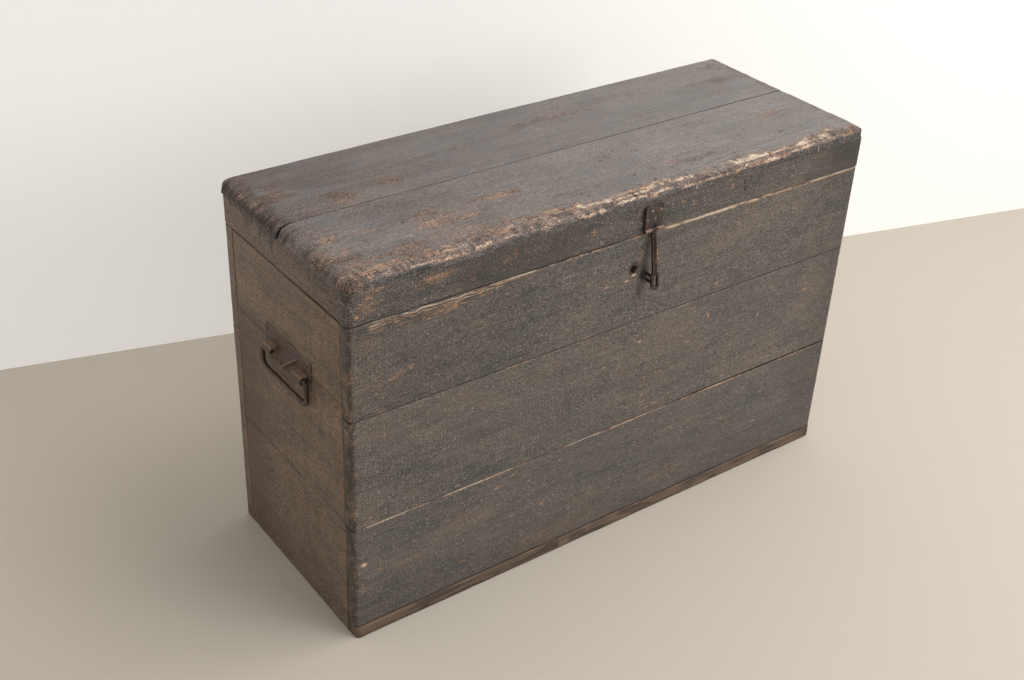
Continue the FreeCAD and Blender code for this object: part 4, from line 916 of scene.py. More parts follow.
def low_board_wear(board):
    front_base(board, 40)
    board.arris(ACROSS, 1, 2.8, 0.9, 1.0, run=40.0, chips=0.3, contrast=0.9, rubbed=0.8, shares=(
        (-480, 0.5), (-455, 1.1), (-290, 1.1), (-240, 0.95), (60, 0.95), (180, 0.6), (480, 0.6)))
    board.arris(ACROSS, -1, 4.0, 0.6, 0.3, run=60.0, contrast=2.0)
    board.add(1 - ease(board.gap(ACROSS, -1), 0.8, 2.4), dark=0.85)
    board.mark(-120, 45, 170, 26, 6, dark=0.2, rubbed=0.5)
    # painted shade: darker towards the foot of the board
    board.add(1 - ease(board.points[:, ACROSS] + 30 * (board.hills((120, 40, 40), 76) - 0.5), 30.0, 120.0),
              dark=0.16)
    place_marks(board, (
        (-226, 178, 22, 3, 4, 0.55, 0.7, 0), (-150, 142, 34, 3, 3, 0.4, 0.7, 0),
        (-300, 150, 40, 4, 2, 0.3, 0.7, 0),
        (-380, 110, 46, 5, 3, 0.2, 0.7, 0), (-462, 137, 9, 5, 0, 0.95, 0.9, 0),
        (-440, 118, 9, 4, 0, 0.6, 0.7, 0),
        (-60, 88, 70, 4, 2, 0.2, 0.6, 0), (120, 64, 60, 4, 3, 0.25, 0.6, 0), (380, 152, 5, 7, 0, 0.6, 0.4, 0),
        (331, 167, 6, 4, 0, 0.6, 0.4, 0), (457, 145, 8, 16, 0, 0.2, 0.7, 0),
        (457, 100, 8, 14, 0, 0.2, 0.7, 0),
        (436, 58, 12, 7, 0, 0.2, 0.7, 0), (250, 122, 16, 4, 5, 0.3, 0.6, 0),
        (-462, 90, 14, 10, 0, 0.1, 0.6, 0)))


KEYHOLE_SPANS = (((-2.0, 15.5, 0.7),), ((475.0, 497.0, 0.7),))
for node, wear, seed, fine in (("front_board_top", top_board_wear, 3, KEYHOLE_SPANS),
                               ("front_board_middle", middle_board_wear, 4, ((), ())),
                               ("front_board_bottom", low_board_wear, 5, ((), ()))):
    make_board(node, "body", COLUMN, -1, front_paint, inside_wood, board_rounds(8.0, 8.0),
               wear,
               seed, step=(3.2, 2.8), edge_step=(1.3, 1.0), edge=(24.0, 14.0), fine=fine)


def end_board_wear(marks=(), front_line=0.6, back_line=0.4, seam_bare=0.1, open_below=0.0, strip=1.0,
                   top_line=False):
    """Wear of a board on an end wall: dirt in its seams and where it meets the long walls, with painted light
    and shade over its height and depth.
    """
    def wear(board):
        board.unevenness(0.6)
        height = board.points[:, ACROSS]
        gaping = 1 - ease(height, open_below - 20.0, open_below + 20.0) if open_below else 0.0
        for side, line in ((-1, front_line), (1, back_line)):
            board.seam_dirt(side, 0.5, 1.6, 0.3)
            board.add(1 - ease(board.gap(ALONG, side), 1.2, 1.6 + 2.0 * line), dark=line, depth=0.9 * line)
            board.arris(ACROSS, side, 2.6, 0.5, seam_bare, run=40.0, contrast=3.0)
        board.add(gaping * (1 - ease(board.gap(ALONG, -1), 1.4, 2.8)), dark=1.0, depth=4.0)
        if top_line:
            board.add(1 - ease(board.gap(ACROSS, 1) + 1.4 * (board.hills((50, 50, 50), 85) - 0.5), 1.2, 3.2),
                      dark=0.9,
                      depth=0.8)
            board.add(ease(board.gap(ACROSS, 1), 2.6, 3.4) * (1 - ease(board.gap(ACROSS, 1), 4.0, 8.0)) * (
                1 - ease(board.points[:, ALONG], -120.0, 20.0)), rubbed=1.0, bare=0.5)
        beside = 1 - ease(board.gap(ALONG, -1) + 12 * (board.hills((30, 30, 30), 77) - 0.5), 4.0, 24.0)
        board.add(strip * beside * board.hills((7, 26, 7), 78, 2.6), rubbed=0.95, bare=0.42)
        board.add(ease(board.hills((9, 80, 9), 79, 2.2), 0.5, 1.0) * board.face, dark=0.12)
        # painted light: the upper part is lighter and browner
        board.add(ease(height, 150.0, 480.0) * board.face, rubbed=0.45)
        # painted shade: darker towards the back below the top, and darker at the bottom
        backward = ease(board.points[:, ALONG], 20.0, 140.0)
        board.add(backward * (1 - ease(height, 360.0, 480.0)), dark=0.4)
        board.add(1 - ease(height + 40 * (board.hills((60, 30, 60), 80) - 0.5), 30.0, 130.0), dark=0.22)
        board.scatter(10, bare=0.45, along=(-150, 60))
        place_marks(board, marks)
    return wear


LEFT_END_MARKS = {
    "top": ((-120, 470, 5, 22, 0, 0.2, 0.6, 0), (-60, 430, 4, 14, 0, 0.2, 0.5, 0),
            (-43, 456, 5, 10, 0, 0.3, 0.5, 0),
            (-150, 520, 10, 18, 0, 0.25, 0.7, 0), (110, 470, 26, 22, 0, 0, 0.35, 0),
            (120, 440, 5, 12, 0, 0, 0, 0.4)),
    "middle": ((-44, 304, 3.5, 30, 0, 0.45, 0.8, 0), (-54, 250, 3, 34, 0, 0.4, 0.8, 0),
               (-67, 340, 4, 30, 0, 0.4, 0.8, 0),
               (-112, 235, 3.5, 28, 0, 0.35, 0.7, 0), (-145, 270, 4, 44, 0, 0.5, 0.9, 0),
               (-150, 330, 3.5, 30, 0, 0.4, 0.7, 0),
               (-29, 300, 4, 16, 0, 0.3, 0.6, 0), (-97, 372, 5, 16, 0, 0.4, 0.6, 0),
               (30, 240, 5, 12, 0, 0.2, 0.6, 0)),
    "bottom": ((-148, 170, 4, 36, 0, 0.45, 0.9, 0), (-156, 128, 4, 24, 0, 0.6, 0.9, 0),
               (-100, 170, 8, 12, 0, 0.1, 0.6, 0),
               (12, 186, 4, 8, 30, 0.5, 0.5, 0), (29, 192, 3, 6, 30, 0.4, 0.5, 0),
               (-160, 50, 5, 40, 0, 0, 0, 0.5)),
}
for seed, level in enumerate(("bottom", "middle", "top")):
    make_board("back_board_" + level, "body", COLUMN, 1, end_paint, inside_wood,
               board_rounds(1.5, 1.5),
               end_board_wear(front_line=0.0, back_line=0.0, seam_bare=0.4, strip=0.0),
               8 + seed, step=(7.0, 6.0), edge_step=(1.6, 1.2), edge=(22.0, 14.0))
    make_board("left_end_board_" + level, "body", ROW, -1, end_paint, inside_wood,
               board_rounds(1.0, 1.0, 0.6),
               end_board_wear(LEFT_END_MARKS[level], back_line=1.0 if level == "top" else 0.6,
                              open_below=110.0 if level == "bottom" else 0.0, top_line=level == "top"),
                              12 + seed,
               step=(3.4, 3.2), edge_step=(1.0, 1.0), edge=(12.0, 12.0))
    make_board("right_end_board_" + level, "body", ROW, 1, end_paint, inside_wood,
               board_rounds(1.0, 1.0, 0.6), end_board_wear(), 15 + seed,
               step=(5.5, 5.0), edge_step=(1.4, 1.4), edge=(16.0, 14.0))


def strip_wear(board):
    board.unevenness(0.5)
    board.arris(ACROSS, 1, 4.0, 0.6, 0.55, run=40.0, contrast=2.4)
    board.arris(ALONG, -1, 4.0, 0.5, 0.3, run=6.0)
    board.add(ease(-board.points[:, ACROSS], -5.0, -1.0), dark=0.5)
    board.add(ease(board.hills((60, 8, 8), 3, 2.4), 0.6, 0.9) * board.face, depth=0.5, dark=0.5)


for seed, name in enumerate(("left", "right")):
    make_board("foot_strip_" + name, "body", COLUMN, -1, bare_wood, bare_wood,
               board_rounds(8.0 if name == "left" else 0.6, 8.0 if name == "right" else 0.6, 1.6), strip_wear,
               20 + seed, step=(4.0, 2.0), edge_step=(1.4, 1.0), edge=(22.0, 8.0))


# ---------------------------------------------------------------- lid

def worn_lid_ends(board):
    """End grain open to wear: dark strokes down both rounded ends, brown and bare between them."""
    place = board.points[:, ACROSS]
    # dark on the lower rounding of the ends: none at the front, most towards the back
    end_darkening_towards_back = np.interp(place, (-180, -30, 40, 180), (0.0, 0.0, 0.36, 0.36))
    opened = np.interp(place, (-180, -30, 40, 180), (0.34, 0.4, 0.62, 0.62))
    for side, reach, strength in ((-1, 46.0, 1.0), (1, 26.0, 0.6)):
        uneven = 14.0 * (board.hills((60, 24, 60), 41 + side, 1.6) - 0.5)
        near = 1 - ease(board.gap(ALONG, side) + uneven, 0.3 * reach, reach)
        down = ease(board.below + 0.3 * uneven, 2.0, 10.0)
        grooves = board.hills((90.0, 5.0, 90.0), 44 + side, 2.0)
        hollows = board.hills((60, 22, 60), 47 + side, 1.6)
        board.depth += 0.8 * strength * near * (grooves + hollows - 1.1)
        fading = 1 - 0.6 * ease(board.below + 0.3 * uneven, 12.0, 19.0)
        board.grooved = np.maximum(board.grooved, strength * near * opened * (0.6 + 0.4 * down) * fading)
        board.kept = np.maximum(board.kept, 0.8 * near * ease(board.below + 0.4 * uneven, 8.0, 15.0))
        clumps = board.hills((40, 26, 40), 51 + side, 2.0)
        board.add(near * (0.3 + 0.7 * clumps), rubbed=1.0 * strength, bare=0.3)
        board.add(near * ease(board.below, 8.0, 15.0), rubbed=0.5)
        board.add(strength * near * down * (0.6 + 0.5 * clumps), dark=end_darkening_towards_back)


def lid_patches(board, patches):
    """Hollows, darker and browner stretches of the lid's top, and the patches rubbed through it."""
    board.unevenness(0.6)
    worn_lid_ends(board)
    # darker and browner towards the left: partly the paint's own tone, partly painted shade where the lid's
    # sheen falls off
    leftward = np.interp(board.points[:, ALONG], (-480, -330, -80, 120), (1.0, 0.7, 0.25, 0.0))
    backward = np.interp(board.points[:, ACROSS], (-150, 0, 60), (0.0, 0.6, 1.0))
    board.add(leftward * (0.3 + board.hills((90, 60, 60), 57, 1.6)) * board.face, dark=0.36, rubbed=0.5)
    board.add(backward * (0.7 + 0.3 * leftward) * board.face, dark=0.5)
    board.add(ease(board.points[:, ALONG], 60.0, 220.0) * board.face, dark=0.14)
    board.add(ease(board.hills((170, 34, 34), 58, 2.4), 0.5, 1.0) * board.face, dark=0.3)
    board.add((0.4 + leftward) * ease(board.hills((120, 18, 18), 59, 2.0), 0.4, 1.0) * board.face, rubbed=0.4)
    for u, v, half_u, half_v, strength in patches:
        board.mark(u, v, 1.2 * half_u, 1.5 * half_v, 0, 1.3, rubbed=1.5 * strength, bare=0.5 * strength)


def lid_front_wear(board):
    lid_patches(board, ((-299, -91, 34, 10, 0.8), (-250, -100, 30, 7, 0.8), (-283, -66, 26, 7, 0.6),
                        (-160, -69, 44, 7, 0.8), (-437, -60, 20, 12, 0.7), (-440, -120, 30, 30, 0.6),
                        (-380, -140, 60, 16, 0.6), (-260, -146, 80, 12, 0.6), (150, -120, 60, 10, 0.4),
                        (60, -40, 50, 12, 0.3), (380, -60, 30, 14, 0.4), (60, -160, 90, 8, 0.6),
                        (-60, -120, 50, 8, 0.35), (240, -20, 60, 10, 0.25)))
    gap = board.gap(ACROSS, -1)
    along = board.points[:, ALONG]
    in_front = gap < 14.0
    wander = board.hills((60, 60, 60), 61, 1.6) + 0.6 * board.hills((13, 13, 13), 68, 1.8) - 0.8
    paint_line = 8.5 + 5.0 * wander
    board.kept = ease(board.below, paint_line - 0.8, paint_line + 1.2) * in_front
    strength = np.interp(along, (-480, -440, -330, -150, -60, 30, 350, 430, 480),
                         (0.4, 0.62, 0.75, 0.7, 0.85, 1.0, 1.0, 0.75, 0.45))
    streaks = board.hills((22, 9, 9), 64, 2.0)
    # bare wood along the paint line, made bright as a painted glint line as well
    bare_edge_and_glint = np.exp(-((board.below - paint_line + 2.0) / 1.9) ** 2) * in_front
    board.add(bare_edge_and_glint * strength * (0.7 + 0.9 * streaks), bare=1.0, rubbed=0.8)
    on_top = ease(gap, 4.0, 10.0) * (1 - ease(gap + 16.0 * wander, 14.0, 31.0))
    board.add(on_top * strength * (0.45 + 0.9 * streaks), bare=0.85, rubbed=0.95, depth=0.4)
    band = (1 - ease(gap + 14.0 * wander, 12.0, 26.0)) * (1 - board.kept)
    board.add(band * (0.7 + 0.3 * streaks), rubbed=1.0)
    ticks = ease(board.hills((4.4, 60, 60), 62, 2.6, 0.5), 0.64, 0.86) * board.hills((26, 26, 26), 66, 3.0)
    board.add(band * ticks, depth=0.9, dark=0.6)
    board.nicked = (1 - ease(gap + 14.0 * wander, 16.0, 34.0)) * (1 - board.kept) * (
        0.14 + 0.36 * board.hills((30, 30, 30), 69, 2.4))
    bites = ease(board.hills((9, 13, 13), 63, 1.7), 0.62, 0.8)
    board.add(band * bites, depth=1.2)
    rounding = (1 - ease(gap, 8.0, 20.0)) * board.hills((46, 46, 46), 65, 2.0)
    board.add(rounding, depth=1.3)
    board.line([(53, -157), (120, -152), (226, -141), (347, -134), (464, -126)], 1.5, 2.0, depth=0.8,
               dark=0.5)
    board.seam_dirt(1, 0.2, 1.2, 1.0)
    board.add(1 - ease(board.gap(ACROSS, 1), 0.2, 1.6), dark=0.9, depth=1.0)
    for u, v, long, wide, turn in ((28, -56, 9, 3, 0), (59, -147, 4, 3, 30), (226, -137, 7, 3, 0),
                                   (347, -117, 6, 2.6, -20),
                                   (198, -103, 3, 3, 0), (98, -56, 3, 2.6, 0), (40, -120, 9, 2.4, 20),
                                   (-120, -90, 3, 3, 0), (-330, -70, 6, 2.6, 0), (-400, -90, 8, 2.6, -20),
                                   (-60, -140, 4, 3, 0), (300, -80, 7, 2.4, 10), (-446, -146, 14, 2.4, -60)):
        board.mark(u, v, long, wide, turn, dark=0.85, depth=1.2, rubbed=0.5)


def lid_back_wear(board):
    lid_patches(board, ((-365, 44, 26, 12, 0.8), (-275, 53, 20, 10, 0.8), (-445, 88, 26, 16, 0.8),
                        (-460, 159, 14, 9, 0.7),
                        (-400, 30, 40, 12, 0.4), (-440, 125, 18, 14, 0.6), (60, 115, 120, 8, 0.4),
                        (-200, 91, 80, 6, 0.35),
                        (180, 130, 70, 10, 0.25), (400, 100, 40, 10, 0.35), (-60, 50, 60, 9, 0.25),
                        (440, 150, 22, 12, 0.4)))
    board.arris(ACROSS, 1, 8.0, 0.4, 0.4, run=40.0, chips=0.3)
    # darker towards the left, as on the front board: partly painted shade
    board.add((1 - ease(board.points[:, ALONG], -200.0, 60.0)) * board.face, dark=0.22)
    board.line([(-425, 108), (-346, 104), (-199, 92), (-60, 90), (83, 115)], 1.5, 2.0, depth=0.5, dark=0.4)
    board.seam_dirt(-1, 0.2, 1.2, 1.0)
    board.add(1 - ease(board.gap(ACROSS, -1), 0.2, 1.2), dark=0.9, depth=0.8)
    board.mark(-482, 12, 9, 5, dark=0.85, depth=4.0)


LID = (X, Y, Z)
LID_ENDS = [(ALONG, -1, 26.0, OUT, 1, 16.5), (ALONG, 1, 11.0, OUT, 1, 9.0)]
lid_front_rounds = LID_ENDS + [(ACROSS, -1, 15.0, OUT, 1, 13.0), (ACROSS, 1, 1.0, OUT, 1, 1.0),
                               (ALONG, -1, 24.0, ACROSS, -1, 24.0), (ALONG, 1, 12.0, ACROSS, -1, 12.0)]
lid_back_rounds = LID_ENDS + [(ACROSS, 1, 7.0, OUT, 1, 6.0), (ACROSS, -1, 1.0, OUT, 1, 1.0),
                              (ALONG, -1, 12.0, ACROSS, 1, 12.0), (ALONG, 1, 12.0, ACROSS, 1, 12.0)]
make_board("lid_board_front", "lid", LID, 1, lid_paint, inside_wood, lid_front_rounds,
           lid_front_wear, 31, step=(2.2, 2.4), edge_step=(1.3, 1.2), edge=(52.0, 40.0), soft_corners=6)
make_board("lid_board_back", "lid", LID, 1, lid_paint, inside_wood, lid_back_rounds,
           lid_back_wear, 32, step=(3.6, 2.6), edge_step=(1.4, 1.3), edge=(52.0, 30.0), soft_corners=6)


def rim_front_wear(board):
    board.unevenness(0.5)
    along = board.points[:, ALONG]
    # darker towards the right end, a painted shade as on the boards below; also darker over a stretch left of
    # the middle
    board.add(ease(along + 60 * (board.hills((60, 60, 60), 75) - 0.5), 320.0, 430.0), dark=0.55)
    board.add(ease(along, -360.0, -280.0) * (1 - ease(along, -130.0, -60.0)), dark=0.36)
    board.scatter(26)
    board.seam_dirt(-1, 0.6, 2.0, 0.8)
    shadow = np.interp(board.points[:, ALONG], (-480, -60, 20, 240, 330, 480), (1.0, 1.0, 0.2, 0.2, 0.7, 0.7))
    board.add(shadow * (1 - ease(board.gap(ACROSS, -1), 0.5, 1.9)) * (board.face > 0), dark=0.85, depth=0.5)
    board.arris(ALONG, -1, 12.0, 0.6, 0.25, run=16.0, chips=0.5, contrast=2.8)
    board.arris(ALONG, 1, 9.0, 0.3, 0.25, run=16.0, chips=0.3, contrast=2.8)
    board.arris(ACROSS, -1, 4.0, 0.8, 0.62, run=60.0, contrast=2.0, rubbed=0.6, shares=(
        (-480, 0.7), (-430, 0.5), (-380, 0.1), (-150, 0.1), (-60, 0.4), (20, 0.9), (240, 1.0), (330, 0.4),
        (480, 0.3)))
    place_marks(board, (
        (-340, 579, 34, 11, 5, 0.4, 0.95, 0), (-352, 582, 12, 5, 5, 0.55, 0.9, 0),
        (-372, 573, 20, 8, 0, 0.3, 0.7, 0),
        (-448, 566, 26, 20, 0, 0.3, 0.6, 0), (-455, 574, 12, 3, 0, 0.6, 0.9, 0),
        (-446, 580, 14, 6, 0, 0.5, 0.9, 0),
        (-466, 556, 9, 7, 0, 0.6, 0.9, 0), (-440, 590, 30, 6, 0, 0.2, 0.8, 0),
        (-229, 570, 9, 6, 0, 0.6, 0.6, 0),
        (-214, 578, 5, 10, 10, 0.5, 0.6, 0), (-192, 560, 5, 4, 0, 0.5, 0.4, 0),
        (-165, 587, 4, 5, 0, 0.5, 0.4, 0),
        (-137, 571, 4, 5, 0, 0.5, 0.4, 0), (-76, 574, 5, 9, 10, 0.55, 0.5, 0),
        (-42, 556, 5, 4, 0, 0.5, 0.4, 0),
        (103, 593, 9, 3, 10, 0.7, 0.4, 0), (191, 575, 7, 9, 20, 0.5, 0.7, 0),
        (139, 559, 4, 4, 0, 0.5, 0.3, 0),
        (57, 599, 14, 2.4, 8, 0.5, 0.5, 0), (300, 580, 12, 5, 0, 0.3, 0.6, 0),
        (380, 585, 26, 4, 8, 0.3, 0.6, 0)))
    board.line([(216, 584), (219, 572), (225, 548)], 1.5, 2.0, depth=2.0, dark=0.9)


make_board("lid_rail_front", "lid", COLUMN, -1, rim_paint, inside_wood,
           [(ALONG, -1, 11.0, OUT, 1, 11.0), (ALONG, 1, 8.5, OUT, 1, 8.5), (ACROSS, -1, 1.2, OUT, 1, 1.2)],
           rim_front_wear, 33, step=(3.0, 2.2), edge_step=(1.3, 1.0), edge=(24.0, 10.0))


def rim_wear(drips=0.0):
    """Wear of the other rails of the rim; the lid's dirt runs down the left one."""
    def wear(board):
        board.unevenness(0.5)
        board.seam_dirt(-1, 0.4, 1.6, 0.9)
        board.add((1 - ease(board.gap(ACROSS, -1), 0.5, 1.8)) * (board.face > 0), dark=0.8, depth=0.5)
        board.arris(ACROSS, -1, 5.0, 0.8, 0.5, run=40.0, contrast=2.6, rubbed=0.5)
        length = 4.0 + 30.0 * board.hills((9, 500, 500), 82, 2.4)
        runs = ease(board.hills((4.0, 70, 90), 81, 2.6), 0.4, 0.72) * (
            1 - ease(board.gap(ACROSS, 1), 0.3, 1.0) * ease(board.gap(ACROSS, 1), 0.5 * length, length))
        backward = ease(board.points[:, ALONG], -60.0, 60.0)
        board.add(runs * (board.face > 0) * (0.4 + 0.6 * backward), dark=drips)
        board.add((1 - ease(board.gap(ACROSS, 1), 0.0, 12.0)) * (board.face > 0) * (0.3 + 0.7 * backward),
                  dark=0.6 * drips)
        board.nicked = (
            1 - ease(board.gap(ACROSS, 1) + 8 * (board.hills((14, 14, 14), 83) - 0.5), 3.0, 16.0)) * drips * (
            0.35 + 0.3 * backward)
        board.add(board.hills((26, 40, 26), 84, 2.4) * (board.face > 0), rubbed=0.35, dark=0.15)
        board.scatter(8, bare=0.4)
    return wear


make_board("lid_rail_back", "lid", COLUMN, 1, rim_paint, inside_wood,
           [(ACROSS, -1, 1.2, OUT, 1, 1.2)], rim_wear(), 34, step=(6.0, 4.0), edge_step=(1.5, 1.2),
           edge=(16.0, 10.0))
for side, name in ((-1, "left"), (1, "right")):
    make_board("lid_rail_" + name, "lid", ROW, side, rim_end_paint, inside_wood,
               [(ACROSS, -1, 1.2, OUT, 1, 1.2), (ALONG, 1, 3.0, OUT, 1, 3.0)],
               rim_wear(0.75 if side < 0 else 0.3),
               36 + side, step=(1.7, 2.6), edge_step=(1.3, 1.1), edge=(12.0, 10.0))


# ---------------------------------------------------------------- ironwork

def forged_piece(node, body, material, voxel, hammer=0.4, shape=None, hand_rub_and_highlight=None):
    """An iron piece in place of its plain one: its edges gone soft, its faces uneven from the hammer.

    shape moves the points; the last argument says how much each is made bright beside its own edges: rubbed
    by hands, and painted highlights on faces turned to the light.
    """
    block = bpy.data.objects.new("block", NODES[node].data.copy())
    bpy.context.scene.collection.objects.link(block)
    melt = block.modifiers.new("melt", "REMESH")
    melt.mode = "VOXEL"
    melt.voxel_size = voxel * MM
    mesh = bpy.data.meshes.new_from_object(block.evaluated_get(bpy.context.evaluated_depsgraph_get()))
    bpy.data.objects.remove(block)
    count = len(mesh.vertices)
    points, normals = np.empty(count * 3), np.empty(count * 3)
    mesh.vertices.foreach_get("co", points)
    mesh.vertex_normals.foreach_get("vector", normals)
    points, normals = points.reshape(-1, 3) / MM, normals.reshape(-1, 3)
    edges = np.empty(len(mesh.edges) * 2, int)
    mesh.edges.foreach_get("vertices", edges)
    starts, stops = edges.reshape(-1, 2).T

    def around(values):
        """The mean of each point's neighbours."""
        total = np.zeros_like(values)
        np.add.at(total, starts, values[stops])
        np.add.at(total, stops, values[starts])
        number = np.bincount(edges, minlength=count)
        return total / np.maximum(number, 1).reshape((-1,) + (1,) * (values.ndim - 1))

    bulge = np.sum((points - around(points)) * normals, axis=1) / voxel
    for _ in range(2):
        bulge = around(bulge)
    edge_wear_and_highlight = ease(bulge, 0.02, 0.13)
    crevice = 0.9 * ease(-bulge, 0.02, 0.12)
    if hand_rub_and_highlight:
        edge_wear_and_highlight = np.maximum(edge_wear_and_highlight, hand_rub_and_highlight(points, normals))
    blows = rough(points, (9.0, 9.0, 9.0), 7) - 0.5 + 0.5 * (rough(points, (2.6, 2.6, 2.6), 8) - 0.5)
    points = points + normals * (2 * hammer * blows)[:, None]
    if shape:
        points = shape(points)
    mesh.vertices.foreach_set("co", (points * MM).ravel())
    for name, values in (("hand_rub_and_highlight", edge_wear_and_highlight), ("crevice", crevice)):
        mesh.attributes.new(name, "FLOAT", "POINT").data.foreach_set("value", values.astype(np.float32))
    mesh.materials.clear()
    mesh.materials.append(material)
    mesh.shade_smooth()
    mesh.name = node + "_forged"
    piece = bpy.data.objects.new(node + "_forged", mesh)
    bpy.context.scene.collection.objects.link(piece)
    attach(piece, body)
    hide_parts(node)
    return piece


HANDLE_Y = -5.3
HASP_X = 34.5
HASP_PIVOT = np.array([34.5, -180.3, 549.0])
STRAP_DOWN = np.array([0.0, -math.sin(math.radians(9.5)), -math.cos(math.radians(9.5))])
STRAP_OUT = np.array([0.0, -math.cos(math.radians(9.5)), math.sin(math.radians(9.5))])


def bent_handle_plate(points):
    """The plate's outline wavers, and its ends stand a little off the wall."""
    moved = points.copy()
    moved[:, Z] += 2.4 * (lumps(points, (500, 26, 30), 3) - 0.5)
    off = 0.9 * ease(np.abs(points[:, Y] - HANDLE_Y), 54, 68) * lumps(points, (500, 30, 30), 4)
    moved[:, X] += np.sign(points[:, X]) * off
    return moved


def plate_wear_and_highlight(points, normals):
    """The plate's thin upper and front edges are made bright: partly rubbed, partly a painted highlight on
    the faces turned up and forward.
    """
    return 0.9 * ease(normals[:, Z], 0.5, 0.9) + 0.5 * ease(-normals[:, Y], 0.5, 0.9)


def hand_worn_bail(points, normals):
    """Hands rub the outer face of the grip and arms."""
    outward = ease(normals[:, X] * np.sign(points[:, X]), 0.2, 0.8)
    return outward * (0.35 + 0.4 * lumps(points, (14, 14, 14), 5))


def bent_hasp_plate(points):
    """The plate's left edge has been bent away from the rim."""
    moved = points.copy()
    away = ease(HASP_X - points[:, X], 11.0, 18.5) * ease(points[:, Z], 551.0, 556.0)
    moved[:, Y] -= 2.6 * away
    moved[:, X] -= 0.9 * (lumps(points, (500, 500, 9), 6) - 0.5) * ease(np.abs(points[:, X] - HASP_X), 12, 18)
    return moved


def grooved_strap(points):
    """A shallow channel down the strap's face; its edges waver."""
    offset = points - HASP_PIVOT
    down, out = offset @ STRAP_DOWN, offset @ STRAP_OUT
    across = offset[:, X]
    on_strap = ease(down, 7.0, 11.0) * (1 - ease(down, 60.0, 66.0))
    channel = 1.3 * np.exp(-((across + 0.6) / 1.3) ** 2) * ease(out, 0.3, 1.2) * on_strap
    waver = 0.9 * (lumps(points, (500, 500, 13), 9) - 0.5) * on_strap
    moved = points - STRAP_OUT * channel[:, None]
    moved[:, X] += waver
    return moved


def knuckle_wear_and_highlight(points, normals):
    """The knuckles' lower front is made bright: rubbed by the strap and by hands, with a painted highlight on
    its forward faces.
    """
    low = 1 - ease(points[:, Z], 551.0, 553.5)
    beside = ease(np.abs(points[:, X] - HASP_X), 4.5, 7.0)
    return 0.9 * low * beside * ease(-normals[:, Y], 0.2, 0.8)


def strap_wear_and_highlight(points, normals):
    # the strap's forward faces are brighter in patches: rubbed, with a painted highlight
    return 0.45 * ease(-normals[:, Y], 0.5, 0.9) * lumps(points, (4, 4, 12), 12)


def nail_wear_and_glint(points, normals):
    """The upper nail beside the plate's middle is bright on its upward faces, partly rubbed and partly a
    painted glint; the others a little.
    """
    bright = (points[:, X] < HASP_X) & (points[:, Z] > 570.0)
    return ease(normals[:, Z] - 0.6 * normals[:, Y], 0.5, 1.1) * np.where(bright, 1.0, 0.25)


for side in ("left", "right"):
    forged_piece(side + "_handle_plate", "body", plate_iron, 0.8, 0.35, bent_handle_plate,
                 plate_wear_and_highlight)
    forged_piece(side + "_bail", side + "_bail", handle_iron, 0.8, 0.35, None, hand_worn_bail)
    forged_piece(side + "_handle_nails", "body", handle_iron, 0.5, 0.25)
forged_piece("hasp_plate", "lid", painted_iron, 0.5, 0.3, bent_hasp_plate, knuckle_wear_and_highlight)
forged_piece("hasp_plate_nails", "lid", nail_iron, 0.4, 0.2, None, nail_wear_and_glint)
forged_piece("hasp_strap", "hasp", rusty_iron, 0.5, 0.25, grooved_strap, strap_wear_and_highlight)
forged_piece("hasp_staple", "body", rusty_iron, 0.5, 0.4)
forged_piece("front_stray_nail", "body", nail_iron, 0.4, 0.2, None, nail_wear_and_glint)


def sunk_nails(node, body, sink=1.7):
    """Old nails in place of the plain ones: driven below the worn face and painted over."""
    shape = bmesh.new()
    shape.from_mesh(NODES[node].data)
    bmesh.ops.remove_doubles(shape, verts=shape.verts, dist=1e-6)
    waiting = set(shape.verts)
    while waiting:
        nail = [waiting.pop()]
        for point in nail:
            for edge in point.link_edges:
                other = edge.other_vert(point)
                if other in waiting:
                    waiting.remove(other)
                    nail.append(other)
        places = np.array([point.co for point in nail])
        shank = int(np.argmax(places.max(axis=0) - places.min(axis=0)))
        if shank != Z:
            for point in nail:
                point.co[shank] -= math.copysign(sink * MM, places[:, shank].mean())
    mesh = bpy.data.meshes.new(node + "_sunk")
    shape.to_mesh(mesh)
    shape.free()
    mesh.materials.append(nail_iron)
    piece = bpy.data.objects.new(node + "_sunk", mesh)
    bpy.context.scene.collection.objects.link(piece)
    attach(piece, body)
    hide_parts(node)


sunk_nails("wall_nails", "body")
sunk_nails("floor_nails", "body")
sunk_nails("lid_nails", "lid")


# ---------------------------------------------------------------- finishes of the other pieces

FINISH = {
    "hinge_wall_screws": hinge_iron, "hinge_lid_screws": hinge_iron,
    "lock_screws": lock_iron, "lock_link_screws": lock_iron, "lock_guide_rivets": lock_iron,
    "lock_key_pin": lock_iron, "lock_plate": lock_iron, "lock_case": lock_iron, "lock_bolt": lock_iron,
    "lock_link": lock_iron, "hasp_pin": rusty_iron,
    "floor_board_front": floor_wood, "floor_board_middle": floor_wood, "floor_board_back": floor_wood,
}
for node in NODES:
    if node.startswith("hinge_") and node not in FINISH:
        FINISH[node] = hinge_iron
for node, material in FINISH.items():
    mesh = NODES[node].data
    mesh.materials.clear()
    mesh.materials.append(material)


# ---------------------------------------------------------------- floor, wall, light and camera

def flat_sheet(name, corners, material):
    """A four-cornered sheet of the stage."""
    mesh = bpy.data.meshes.new(name)
    mesh.from_pydata(corners, [], [(0, 1, 2, 3)])
    mesh.materials.append(material)
    piece = bpy.data.objects.new(name, mesh)
    bpy.context.scene.collection.objects.link(piece)
    return piece


